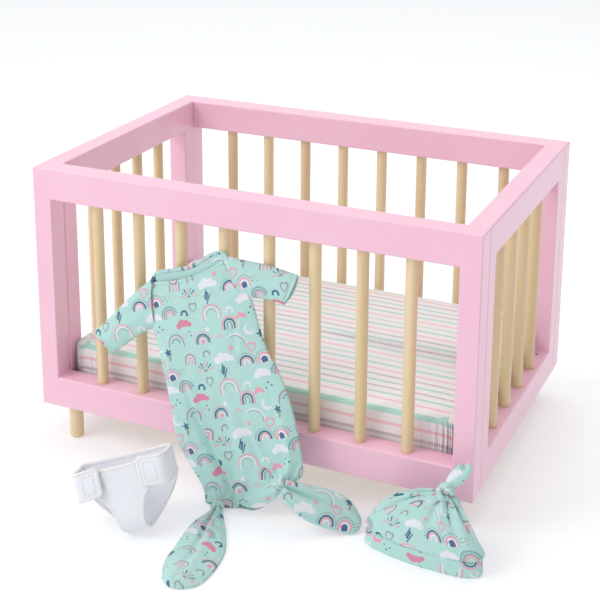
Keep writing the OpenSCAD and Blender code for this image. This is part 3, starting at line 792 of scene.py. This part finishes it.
def fullness(u):
    """How far two layers stand apart at u across: none at the sides, full over most of it."""
    return (1 - np.abs(2 * u - 1) ** 2.4) ** 0.55


def gown_folds(t, s):
    """Relief of the front in mm: long folds, gathers at the knots and slack at the shoulders.

    Each fold is a line on the flat gown, the ridge's height and half width, and the depth of the
    hollow beside it. It grows along its line. The gathers are waves round each knot."""
    h = np.zeros(t.shape)
    for line, high, wide, shade in (
            ([(-31, 112), (-27, 154), (-19, 186), (-11, 220), (-6, 242), (-7, 259)], 5.2, 5.2, 7.6),
            ([(-46, 150), (-49, 197), (-48, 226)], 2.6, 4.5, 2.4),
            ([(73, 140), (70, 196), (65, 224), (46, 244)], 4.6, 4.4, -3.8),
            ([(30, 165), (36, 210), (48, 238)], 3.4, 5.0, 3.2),
            ([(8, 120), (12, 190), (4, 240)], 2.4, 7.0, 1.6),
            ([(60, 52), (48, 66), (40, 96)], 2.2, 5.0, 1.6),
            ([(56, 36), (34, 42), (10, 40)], 1.2, 5.0, 0.9),
            ([(-58, 58), (-50, 80), (-52, 116)], 2.0, 4.5, 1.4)):
        far, side = near_line(t, s, line)
        start_s, end_s = line[0][1], line[-1][1]
        grow = np.clip((s - start_s + 8) / (0.45 * (end_s - start_s) + 8), 0, 1)
        h += grow * (high * np.exp(-(far / wide) ** 2)
                     - shade * np.exp(-((far - wide) / wide) ** 2) * (side > 0))
    for (kt, ks), turns, phase in zip(knots, (13, 11), (0.4, 1.1)):
        far = np.hypot(t - kt, s - ks)
        angle = np.arctan2(t - kt, ks - s)
        h += 2.6 * np.cos(turns * angle + phase) * np.exp(-far / 24) * far / (far + 6)
    h += 0.5 * np.sin(t / 13 + s / 31) * np.sin(s / 24 + 1) + 0.25 * np.sin(t / 5.0 + s / 9.0)
    return h


def tube(name, front, back, high, low, replaced=None):
    """A flat tube: a front and a back grid of (t, s) that meet at their sides, at these heights."""
    back, low = back[:, ::-1], low[:, ::-1]
    flat = np.concatenate([front, back[:, 1:]], axis=1)
    heights = np.concatenate([high, low[:, 1:]], axis=1)
    points = in_gown(flat[..., 0], flat[..., 1], heights)
    made = cloth_surface(name, points, flat * [0.001, -0.001], "gown", jersey)
    thicken(made, cloth_t)
    if replaced:
        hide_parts(replaced)
    return made


gown_rows, gown_columns = 190, 110
front_grid = patch(front_neck, hem, left_side, right_side, gown_rows, gown_columns)
back_grid = patch(back_neck, hem, left_side, right_side, gown_rows, gown_columns)
gown_u = np.linspace(0, 1, gown_columns)[None]
gown_v = np.linspace(0, 1, gown_rows)[:, None]
swell = 0.30 + 0.70 * np.clip(gown_v / 0.25, 0, 1) ** 0.7 - 0.28 * gown_v ** 6
full = fullness(gown_u)
high = 2.4 + full * (6.4 * swell + gown_folds(front_grid[..., 0], front_grid[..., 1]))
low = np.broadcast_to(2.4 - 1.5 * full, high.shape)
high = np.clip(high, low + 0.9 * full, 13.5)
gown = tube("gown_tube", front_grid, back_grid, high, low, "gown_body")


# ---- gown edges -----------------------------------------------------------------------------------
# The neck edges are turned over and topstitched, and the lapped right shoulder has a rolled edge.
def sweep(name, path, wide, high, up, body, cloth, uv_start=(0.0, 0.0), sides=14, closed=False):
    """A soft band: an oval, wide across and high along up, carried along a path of points.

    wide and high are one value for each point, in metres; up is a direction for each point."""
    path = np.asarray(path)
    if closed:
        ahead = np.roll(path, -1, axis=0) - np.roll(path, 1, axis=0)
    else:
        ahead = np.gradient(path, axis=0)
    ahead /= np.linalg.norm(ahead, axis=1, keepdims=True)
    up = np.broadcast_to(up, path.shape)
    over = np.cross(ahead, up)
    over /= np.linalg.norm(over, axis=1, keepdims=True)
    rise = np.cross(over, ahead)
    angle = np.linspace(0, 2 * np.pi, sides + 1)[None, :, None]
    wide = np.broadcast_to(wide, len(path))[:, None, None] / 2
    high = np.broadcast_to(high, len(path))[:, None, None] / 2
    points = path[:, None] + over[:, None] * np.cos(angle) * wide + rise[:, None] * np.sin(angle) * high
    steps = np.concatenate([[0], np.cumsum(np.linalg.norm(np.diff(path, axis=0), axis=1))])
    if np.ndim(uv_start) == 2:
        uv = uv_start[:, None] + np.concatenate([np.zeros_like(angle), np.cos(angle)], -1) * wide
    else:
        uv = np.stack(np.broadcast_arrays(steps[:, None] + uv_start[0],
                                          angle[..., 0] * wide[..., 0] + uv_start[1]), -1)
    if closed:
        points = np.concatenate([points, points[:1]])
        uv = np.concatenate([uv, uv[-1:]])
    else:
        middle = path[[0, -1]][:, None].repeat(sides + 1, 1)
        points = np.concatenate([middle[:1], points, middle[1:]])
        uv = np.concatenate([uv[:1], uv, uv[-1:]])
    return cloth_surface(name, points, uv, body, cloth)


def gown_edge(name, line, height, wide, thick):
    """A narrow band along a line on the flat gown, at this height above its plane."""
    line = spline(line, 90)
    path = in_gown(line[:, 0], line[:, 1], height)
    out = in_gown(line[:, 0], line[:, 1], np.asarray(height) + 1.0) - path
    taper = np.clip(np.minimum(np.arange(90), np.arange(90)[::-1]) / 5 + 0.3, 0, 1)
    return sweep(name, path, wide * taper, thick * taper, out, "gown", jersey, line * [0.001, -0.001])


lift = 2.4 + fullness(np.linspace(0.0, 1.0, 90)) * 2.3
neck_front = gown_edge("front_neck_edge", front_neck, lift, 0.0042, 0.0020)
neck_back = gown_edge("back_neck_edge", back_neck[1:-1], 1.6, 0.0042, 0.0020)
shoulder = gown_edge("lapped_shoulder", [(44, -6), (49, 1), (47.5, 18), (56, 33), (64, 46)],
                     np.linspace(4.0, 6.5, 90), 0.0036, 0.0030)
left_fold = gown_edge("left_shoulder_edge", [(-44, 3), (-50, 8), (-54, 22), (-58, 38), (-60, 54)],
                      np.linspace(3.2, 4.4, 90), 0.0030, 0.0024)


# ---- sleeves --------------------------------------------------------------------------------------
# Two short sleeves, each a tube set into the armhole, with a hem turned up and stitched 4 mm from
# its edge. They hang away from the body, and their undersides show below the front layer.
def sleeve(name, top, under, armhole, cuff, replaced=None):
    """One sleeve between its top and under edges, from the armhole line to the cuff line."""
    rows, columns = 74, 44
    front = patch(armhole, cuff, top, under, rows, columns)
    u = np.linspace(0, 1, columns)[None]
    v = np.linspace(0, 1, rows)[:, None]
    reach = np.linalg.norm(np.array(top[-1]) - np.array(top[0]))
    from_cuff = (1 - v) * reach
    seam = 1.3 * np.exp(-((from_cuff - 4.5) / 1.0) ** 2)
    folds = (0.9 * np.sin(9 * u + 5 * v) * (1 - v) + 0.8 * np.exp(-((u - 0.75 + 0.3 * v) / 0.12) ** 2)
             + 0.5 * np.sin(16 * u * (1 - 0.5 * v) + 1) * np.exp(-v * 3))
    full = fullness(u)
    high = 2.2 + full * (5.6 + 1.2 * v + folds - seam) * (0.75 + 0.25 * np.clip(v * 5, 0, 1))
    low = np.broadcast_to(2.2 - 1.2 * full, high.shape)
    made = tube(name, front, front, high, low, replaced)
    return made


sleeve("left_sleeve", [(-44, 2), (-62, 9), (-84, 19), (-110, 33), (-132, 44)],
       [(-56, 54), (-70, 56), (-84, 60), (-100, 66), (-114, 71)],
       [(-44, 2), (-51, 20), (-54, 38), (-56, 54)], [(-132, 44), (-129, 51), (-122, 62), (-114, 71)],
       "gown_sleeves")
sleeve("right_sleeve", [(45, -3), (63, 5), (89, 16), (108, 26), (124, 35)],
       [(58, 44), (68, 47), (78, 50), (90, 55), (100, 61)],
       [(45, -3), (47, 14), (52, 30), (58, 44)], [(124, 35), (119, 44), (110, 54), (100, 61)])


# ---- knots and tails ------------------------------------------------------------------------------
# Each lower corner of the gown ends in a long leaf-shaped tail of doubled jersey, stitched near its
# edge. The tails are tied into a tight knot at each corner and spread out on the floor.
def knot(name, middle, along, size, body):
    """Two crossed bands of bunched cloth about a middle, with the tail leaving along a direction."""
    along = np.asarray(along, float) / np.linalg.norm(along)
    side = np.cross(along, (0.0, 0.0, 1.0))
    side /= np.linalg.norm(side)
    third = np.cross(side, along)
    made = []
    for k, (slant, shift) in enumerate(((0.35, -0.25), (-0.75, 0.3))):
        across = -along * np.sin(slant) + side * np.cos(slant)
        angle = np.linspace(0, 2 * np.pi, 72, endpoint=False)
        wobble = 1 + 0.06 * np.sin(3 * angle + k) + 0.03 * np.sin(11 * angle)
        loop = (np.outer(np.cos(angle) * wobble, across) * 0.85
                + np.outer(np.sin(angle) * wobble, third) * 0.62)
        ring = middle + along * shift * size + loop * size
        band_wide = size * (0.95 + 0.12 * np.sin(5 * angle))
        made.append(sweep(f"{name}_band_{k + 1}", ring, band_wide, size * 0.66, ring - middle, body,
                          jersey, (0.01 * k, 0.02), closed=True))
    core_path = middle + along * np.linspace(-1.0, 1.0, 24)[:, None] * size
    core_wide = size * 1.25 * np.sqrt(1 - np.linspace(-0.96, 0.96, 24) ** 2)
    made.append(sweep(f"{name}_core", core_path, core_wide, core_wide * 0.8, third, body, jersey))
    return made


def leaf(name, left, right, place, thick, trough, uv_turn):
    """A doubled leaf between two edge curves that meet at its ends.

    Its height is the fullness times (thick - stitch line - trough x crease + ripple). The crease
    runs down its middle from the knot, with a lip beside it, and fades towards the tip."""
    rows, columns = 110, 46
    l, r = spline(left, rows), spline(right, rows)
    u = np.linspace(0, 1, columns)[None, :, None]
    flat = l[:, None] * (1 - u) + r[:, None] * u
    u, v = u[..., 0], np.linspace(0, 1, rows)[:, None]
    width = np.linalg.norm(r - l, axis=1)[:, None]
    full = fullness(u) * np.clip(width / 14, 0, 1)
    from_edge = np.minimum(u, 1 - u) * width
    stitch_depth, stitch_in, stitch_wide = 1.2, 3.6, 0.9
    stitch = stitch_depth * np.exp(-((from_edge - stitch_in) / stitch_wide) ** 2)
    from_crease = u - 0.52 + 0.10 * np.sin(2.6 * v + 0.6)
    crease = np.exp(-(from_crease / 0.07) ** 2)
    lip = 0.7 * np.exp(-((from_crease - 0.14) / 0.10) ** 2)
    groove = (crease - lip) * np.clip(1.15 - 1.2 * v, 0, 1)
    ripple = 0.5 * np.sin(7 * u + 6 * v) + 0.5 * np.cos(15 * u + 2) * np.exp(-4 * v)
    high = full * (thick - stitch - trough * groove + ripple) + 0.5
    low = 0.45 - 0.3 * full
    high = np.maximum(high, low + 0.2)
    both = np.concatenate([flat, flat[:, ::-1][:, 1:]], axis=1)
    heights = np.concatenate([high, low[:, ::-1][:, 1:]], axis=1)
    points = place(both[..., 0], both[..., 1], heights)
    turn = np.radians(uv_turn)
    uv = np.stack([both[..., 0] * np.cos(turn) - both[..., 1] * np.sin(turn),
                   both[..., 0] * np.sin(turn) + both[..., 1] * np.cos(turn)], -1) / 1000
    return cloth_surface(name, points, uv, "gown", jersey)


def on_floor(x, y, h):
    """Millimetres on the floor, from the crib's middle, to the frame."""
    return np.stack([crib_mid[0] + x / 1000, crib_mid[1] + y / 1000, 0.0008 + h / 1000], -1)


def turned_to(x_turn, y_turn, z_turn):
    """The matrix that turns about X, then Y, then Z by these degrees."""
    a, b, c = np.radians([x_turn, y_turn, z_turn])
    about_x = np.array([[1, 0, 0], [0, np.cos(a), -np.sin(a)], [0, np.sin(a), np.cos(a)]])
    about_y = np.array([[np.cos(b), 0, np.sin(b)], [0, 1, 0], [-np.sin(b), 0, np.cos(b)]])
    about_z = np.array([[np.cos(c), -np.sin(c), 0], [np.sin(c), np.cos(c), 0], [0, 0, 1]])
    return about_z @ about_y @ about_x


slope = turned_to(38, 31, 14)
slope_start = np.array([crib_mid[0] + 0.080, gown_foot[1] - 0.008, 0.0466])


def on_slope(x, y, h):
    """Millimetres on the sloping plane of the right tail to the frame."""
    made = np.stack([x, y, h], -1) / 1000 @ slope.T + slope_start
    made[..., 2] = np.maximum(made[..., 2], 0.0012)
    return made


left_leaf = leaf("left_tail",
                 [(-4, -236), (-6, -252), (-11, -276), (-7, -317), (-3, -345), (8, -368), (21, -378)],
                 [(6, -236), (14, -250), (32, -279), (45, -308), (49, -340), (46, -364), (33, -376),
                  (21, -378)],
                 on_floor, 6.0, 5.4, 12)
right_leaf = leaf("right_tail",
                  [(-6, 2), (1, 5), (18, 12), (45, 21), (66, 21), (82, 12), (86, 2)],
                  [(-4, -14), (4, -18), (24, -22), (46, -20), (79, -9), (84, -4), (86, 2)],
                  on_slope, 4.8, 4.2, -20)
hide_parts("gown_tails")
left_middle = in_gown(knots[0][0] + 2, knots[0][1] + 4, 3.0) + np.array([0, -0.002, 0.003])
right_middle = in_gown(knots[1][0], knots[1][1], 6.0)
left_bands = knot("left_knot", left_middle, (0.15, -1.0, 0.0), 0.0062, "gown")
right_bands = knot("right_knot", right_middle, (1.0, -0.25, -0.5), 0.0066, "gown")


# ---- cap ------------------------------------------------------------------------------------------
# A doll's cap of the same jersey, standing flattened on its mouth: a wide turned-up cuff, and a
# crown gathered into a single knot with a short pointed tail, off to the right and to the back.
cap_turn = turned_to(0, 0, -6)
cap_mid = np.array([crib_mid[0] + 0.225, crib_mid[1] - 0.2275, 0.0003])


def in_cap(points):
    """Millimetres in the cap's own frame, with its mouth's middle at the origin, to the frame."""
    return np.asarray(points) / 1000 @ cap_turn.T + cap_mid


cap_z = [0, 17, 24, 36, 44, 53, 60, 64, 66.5]
cap_left = [-63.0, -61.0, -59.5, -55, -48, -35, -19, -5, 6]
cap_right = [62.5, 62.0, 59, 52, 47, 39, 32, 27, 22]
cap_deep = [16.5, 17.5, 17.5, 16.5, 15, 12.5, 10, 8, 5.5]
cap_back = [0, 0.5, 2, 4, 6, 9, 12, 13.5, 14.5]


def cap_ring(z, angle, grow=0.0):
    """Points round the cap at height z: an oval between its left and right outline there."""
    left, right = np.interp(z, cap_z, cap_left), np.interp(z, cap_z, cap_right)
    deep, back = np.interp(z, cap_z, cap_deep), np.interp(z, cap_z, cap_back)
    c, s = np.cos(angle), np.sin(angle)
    x = (left + right) / 2 + ((right - left) / 2 + grow) * np.sign(c) * np.abs(c) ** 0.85
    y = back + (deep + grow) * np.sign(s) * np.abs(s) ** 0.85
    return np.stack([x, y, np.broadcast_to(z, x.shape)], -1)


cap_columns = 260
cap_angle = np.linspace(0, 2 * np.pi, cap_columns + 1)
cuff_line, crown_full, crown_end, crown_top = 16.8, 22, 60, 66.4
cap_steps = np.concatenate([
    np.linspace(5, cuff_line, 8)[:-1], np.linspace(cuff_line, crown_full, 14)[:-1],
    np.linspace(crown_full, crown_end, 50),
    crown_end + (crown_top - crown_end) * np.linspace(0, 1, 16)[1:] ** 0.8])
cap_tie = np.array([15.0, 14.6, 68.0])
base_ring = cap_ring(20.0, cap_angle)
base_arc = np.concatenate([[0], np.cumsum(np.linalg.norm(np.diff(base_ring, axis=0), axis=1))])
fold_phase = 1.5 * np.sin(2 * cap_angle + 0.7) + 0.7 * np.sin(5 * cap_angle)
cap_rows, cap_uv, climb = [], [], 0.0
for i, z in enumerate(cap_steps):
    ring = cap_ring(z, cap_angle)
    near_top = np.clip((z - 24) / 42, 0, 1)
    fold = (3.4 * near_top ** 1.3 * np.sin(9 * cap_angle + fold_phase)
            + 1.2 * near_top * np.sin(17 * cap_angle + 2 * fold_phase)
            + 0.7 * np.sin(3 * cap_angle + z / 14) * np.sin(np.pi * np.clip((z - 5) / 60, 0, 1)))
    puff = (4.2 * np.clip((z - cuff_line) / 4.0, 0, 1) ** 0.5
            * np.clip((66 - z) / 46, 0, 1) ** 1.2 - 1.4)
    centre = np.array([ring[:-1, 0].mean(), ring[:-1, 1].mean(), z])
    away = ring - centre
    away /= np.maximum(np.linalg.norm(away * [0.35, 1, 1], axis=1, keepdims=True), 1e-6)
    room = np.clip(np.linalg.norm(ring - centre, axis=1, keepdims=True) / 16, 0, 1)
    ring = ring + away * (fold + puff)[:, None] * room * [0.5, 1.0, 0]
    ring[:, 2] += 1.4 * near_top ** 2 * np.sin(9 * cap_angle + fold_phase + 1.5)
    if i:
        climb += float(np.linalg.norm(ring - cap_rows[-1], axis=1).mean())
    cap_rows.append(ring)
    cap_uv.append(np.stack([base_arc + 46, np.full_like(base_arc, climb + 17)], -1))
cap_rows.append(np.broadcast_to(cap_tie, ring.shape) + 0.25 * (ring - cap_tie) * [1, 1, 0])
cap_uv.append(cap_uv[-1] + [0, 6])
cap_rows.append(np.broadcast_to(cap_tie, ring.shape) + [0, 0, 1.0])
cap_uv.append(cap_uv[-1] + [0, 2])
crown = cloth_surface("cap_crown_cloth", in_cap(cap_rows), np.array(cap_uv) / 1000, "cap", jersey)
thicken(crown, cloth_t, -1.0)
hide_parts("cap_crown")

cuff_profile = [(-1.6, 1.2), (-1.0, 0.4), (0.0, 0.0), (1.0, 0.6), (1.4, 3), (1.3, 8), (1.1, 13), (0.8, 16),
                (0.2, 17.2), (-0.6, 17.4), (-1.2, 16.6), (-1.5, 13), (-1.7, 7), (-1.6, 1.2)]
profile = spline(cuff_profile, 40)
cuff_rows, cuff_uv = [], []
for grow, z in profile:
    ring = cap_ring(max(z, 0.0), cap_angle, grow)
    dip = 0.35 * np.sin(7 * cap_angle + 0.8) + 0.2 * np.sin(15 * cap_angle)
    ring[:, 1] += 0.8 * dip * np.sign(np.sin(cap_angle))
    ring[:, 2] = z + (0.25 * np.sin(4 * cap_angle) if z > 10 else 0)
    cuff_rows.append(ring)
    cuff_uv.append(np.stack([base_arc + 3, np.full_like(base_arc, -z - 50 + grow)], -1))
cuff = cloth_surface("cap_cuff", in_cap(cuff_rows), np.array(cuff_uv) / 1000, "cap", jersey)

tail_path = in_cap(spline([(14, 13.5, 62), (17, 15, 72), (21, 17, 80), (27, 19.5, 88), (33, 22, 95),
                           (38, 24, 101)], 70))
tail_k = np.linspace(0, 1, 70)
tail_wide = np.interp(tail_k, [0, 0.2, 0.35, 0.6, 0.8, 0.93, 1],
                      [0.009, 0.008, 0.011, 0.016, 0.0155, 0.010, 0.002])
tail_high = np.interp(tail_k, [0, 0.2, 0.35, 0.6, 0.85, 1],
                      [0.008, 0.007, 0.008, 0.0085, 0.006, 0.002])
cap_tail = sweep("cap_knot_tail", tail_path, tail_wide, tail_high,
                 cap_turn @ np.array([0.1, -1.0, 0.25]), "cap", jersey, (0.03, 0.02), 28)
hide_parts("cap_knot")
cap_bands = knot("cap_knot", in_cap((16.0, 14.5, 70.5)), cap_turn @ np.array([0.5, 0.2, 0.85]),
                 0.0088, "cap")


# ---- diaper ---------------------------------------------------------------------------------------
# One piece of white brushed terry, wide at the front and back waist and narrow at the crotch, bent
# into a U. A knitted edging is sewn round the waist and leg openings, and two tabs close it.
diaper_turn = turned_to(0, 0, 15) @ turned_to(-17, 0, 0) @ turned_to(0, -18, 0)
diaper_mid = np.array([crib_mid[0] - 0.052, crib_mid[1] - 0.3105, 0.0072])


def in_diaper(points):
    """Millimetres in the diaper's frame, its crotch at the origin and its front to -Y, to the frame."""
    return np.asarray(points) / 1000 @ diaper_turn.T + diaper_mid


def terry_material(name, tint, scale, depth):
    """White looped cotton: a coarse noise for the loops and a finer one for the yarn. Its colour is
    painted 7 percent darker in the hollows between the loops, as painted shade.
    """
    tree, principled, material = shader(name, Roughness=0.95, Sheen_Weight=0.3, Sheen_Roughness=0.6)
    principled.inputs["Specular IOR Level"].default_value = 0.1
    place = node(tree, "ShaderNodeTexCoord").outputs["Object"]
    loops = node(tree, "ShaderNodeTexVoronoi", {"Vector": place, "Scale": scale})
    yarn = node(tree, "ShaderNodeTexNoise", {"Vector": place, "Scale": scale * 2.5, "Detail": 3.0})
    height = calc(tree, "SUBTRACT", yarn.outputs["Fac"], loops.outputs["Distance"])
    bump = node(tree, "ShaderNodeBump", {"Strength": 0.7, "Distance": depth, "Height": height})
    tree.links.new(bump.outputs["Normal"], principled.inputs["Normal"])
    # Painted shade: the tint goes 7 percent darker away from each loop's middle, in the hollows between
    # the loops.
    shade = tuple(c * 0.93 for c in tint[:3]) + (1.0,)
    tree.links.new(mix(tree, loops.outputs["Distance"], tint, shade), principled.inputs["Base Color"])
    return material


brushed = ("terry_cloth",
           terry_material("white_brushed_cotton", (0.86, 0.87, 0.93, 1.0), 900.0, 0.0003))
edging_cloth = ("terry_cloth",
                terry_material("white_knit_edging", (0.90, 0.90, 0.92, 1.0), 620.0, 0.0009))
half_waist, half_crotch, waist_up, half_deep = 48.0, 12.0, 72.0, 16.0
opening_top = 47.0


def diaper_half(z, front):
    """Half the cloth's width at height z: it flares late at the front and evenly at the back."""
    k = np.clip(z / opening_top, 0, 1)
    fore_half = half_crotch + (half_waist - 7.0 - half_crotch) * (1 - np.sqrt(1 - k ** 2.3))
    rear_half = half_crotch + (half_waist - half_crotch) * (1 - (1 - k) ** 1.5)
    return np.where(front, fore_half, rear_half)


front_rows, bottom_rows, back_rows, front_lower = 45, 31, 47, 3.0
bottom = np.linspace(0, np.pi, bottom_rows)
fore = np.linspace(waist_up - front_lower, half_deep, front_rows + 1)[:-1]
rear = np.linspace(half_deep, waist_up, back_rows + 1)[1:]
path_y = np.concatenate([np.full(front_rows, -half_deep), -half_deep * np.cos(bottom),
                         np.full(back_rows, half_deep)])
path_z = np.concatenate([fore, half_deep * (1 - np.sin(bottom)), rear])
is_front = path_y < 0
path_half = diaper_half(path_z, is_front)
eased = slice(front_rows - 5, front_rows + bottom_rows + 8)
for _ in range(6):
    path_half[eased] = (np.roll(path_half, 1) + path_half + np.roll(path_half, -1))[eased] / 3
path_run = np.concatenate([[0], np.cumsum(np.hypot(np.diff(path_y), np.diff(path_z)))])
du = np.linspace(-1, 1, 61)[None]
dx = path_half[:, None] * du
height_k = np.clip(path_z / waist_up, 0, 1)[:, None]
from_side = 1 - (dx / half_waist) ** 2
bow = np.where(is_front, -3.6, 3.6)[:, None] * from_side * height_k ** 0.7
run_k = path_run[:, None]
slack = (0.7 * np.sin(dx / 9 + run_k / 14)
         + 1.1 * np.exp(-((np.abs(dx) - 20) / 9) ** 2) * np.sin(run_k / 17))
lean_in = np.where(is_front, 1.8, 0.0)[:, None] * height_k ** 2
waist_dip = np.where(is_front, 3.5, 2.0)[:, None] * from_side * height_k ** 6
dy = path_y[:, None] + bow + slack * 0.5 + lean_in
dz = path_z[:, None] - waist_dip
diaper_grid = np.stack([dx, dy, dz], -1)
diaper_uv = np.stack(np.broadcast_arrays(dx, run_k), -1) / 1000
diaper = cloth_surface("diaper_cloth", in_diaper(diaper_grid), diaper_uv, "diaper", brushed)
thicken(diaper, 0.0022)
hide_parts("diaper_body")


def edge_band(name, line, body, wide=0.0046, thick=0.0030):
    """The knitted edging along a line of points in the diaper's frame, a little uneven."""
    path = in_diaper(line)
    k = np.arange(len(line))
    uneven = 1 + 0.06 * np.sin(k * 1.7) + 0.05 * np.sin(k * 0.61)
    outward = in_diaper([0, -1, 0]) - diaper_mid
    return sweep(name, path, wide * uneven, thick * uneven, outward, body, edging_cloth, sides=12)


trims = [edge_band(place + "_edging", line, "diaper") for place, line in (
    ("front_waist", diaper_grid[0]), ("back_waist", diaper_grid[-1]),
    ("left_leg", diaper_grid[:, 0]), ("right_leg", diaper_grid[:, -1]))]


# ---- diaper tabs ----------------------------------------------------------------------------------
# Each tab is sewn to the back, wraps round the hip and closes on the front with a patch of hook
# tape, whose stitching shows as a rectangle. Its free edges have the same knitted edging.
def tab(side, cad_name):
    """One tab: a strip that runs forward along the hip, turns round it and ends on the front."""
    corner, reach, tall = 7.0, 27.0, 25.5
    turn = np.linspace(0, np.pi / 2, 14)
    hip_x = half_waist + 1.2
    front_y = -(half_deep + 6.0)
    line = np.concatenate([
        np.stack([np.full(24, hip_x), np.linspace(half_deep + 0.5, front_y + corner, 24)], -1),
        np.stack([hip_x - corner * (1 - np.cos(turn)), front_y + corner - corner * np.sin(turn)], -1)[1:],
        np.stack([np.linspace(hip_x - corner, hip_x - reach, 26), np.full(26, front_y)], -1)[1:]])
    run = np.concatenate([[0], np.cumsum(np.hypot(*np.diff(line, axis=0).T))])
    up = np.linspace(0, 1, 26)[None]
    k = (run / run[-1])[:, None]
    drop = 3.0 * np.sin(np.pi * k) + 1.5 * k
    z = waist_up - tall + tall * up - drop * (1 - 0.3 * up)
    x = side * np.broadcast_to(line[:, :1], z.shape)
    y = line[:, 1:] + 0.6 * np.sin(3.1 * up + 5 * k) * k - 1.6 * k * np.sin(np.pi * up) * 0.5
    grid = np.stack([x, np.broadcast_to(y, z.shape), z], -1)
    uv = np.stack(np.broadcast_arrays(run[:, None], z), -1) / 1000
    name = cad_name.replace("diaper_", "")
    cloth = cloth_surface(name + "_cloth", in_diaper(grid), uv, cad_name, brushed)
    thicken(cloth, 0.0020)
    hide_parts(cad_name)
    pieces = [edge_band(name + "_end_edging", grid[-1], cad_name, 0.0044, 0.0032),
              edge_band(name + "_upper_edging", grid[:, -1], cad_name, 0.0040, 0.0030),
              edge_band(name + "_lower_edging", grid[:, 0], cad_name, 0.0040, 0.0030)]
    inner = [(0.66, 0.16), (0.90, 0.16), (0.90, 0.84), (0.66, 0.84), (0.66, 0.16)]
    corners = []
    for a, b in zip(inner[:-1], inner[1:]):
        for f in np.linspace(0, 1, 12, endpoint=False):
            row = (a[0] * (1 - f) + b[0] * f) * (len(grid) - 1)
            column = (a[1] * (1 - f) + b[1] * f) * 25
            corners.append(grid[int(round(row)), int(round(column))] + [0, -1.2, 0])
    stitch = edge_band(name + "_hook_tape_stitching", np.array(corners + corners[:1]), cad_name,
                       0.0009, 0.0006)


tab(-1, "diaper_tab_left")
tab(1, "diaper_tab_right")
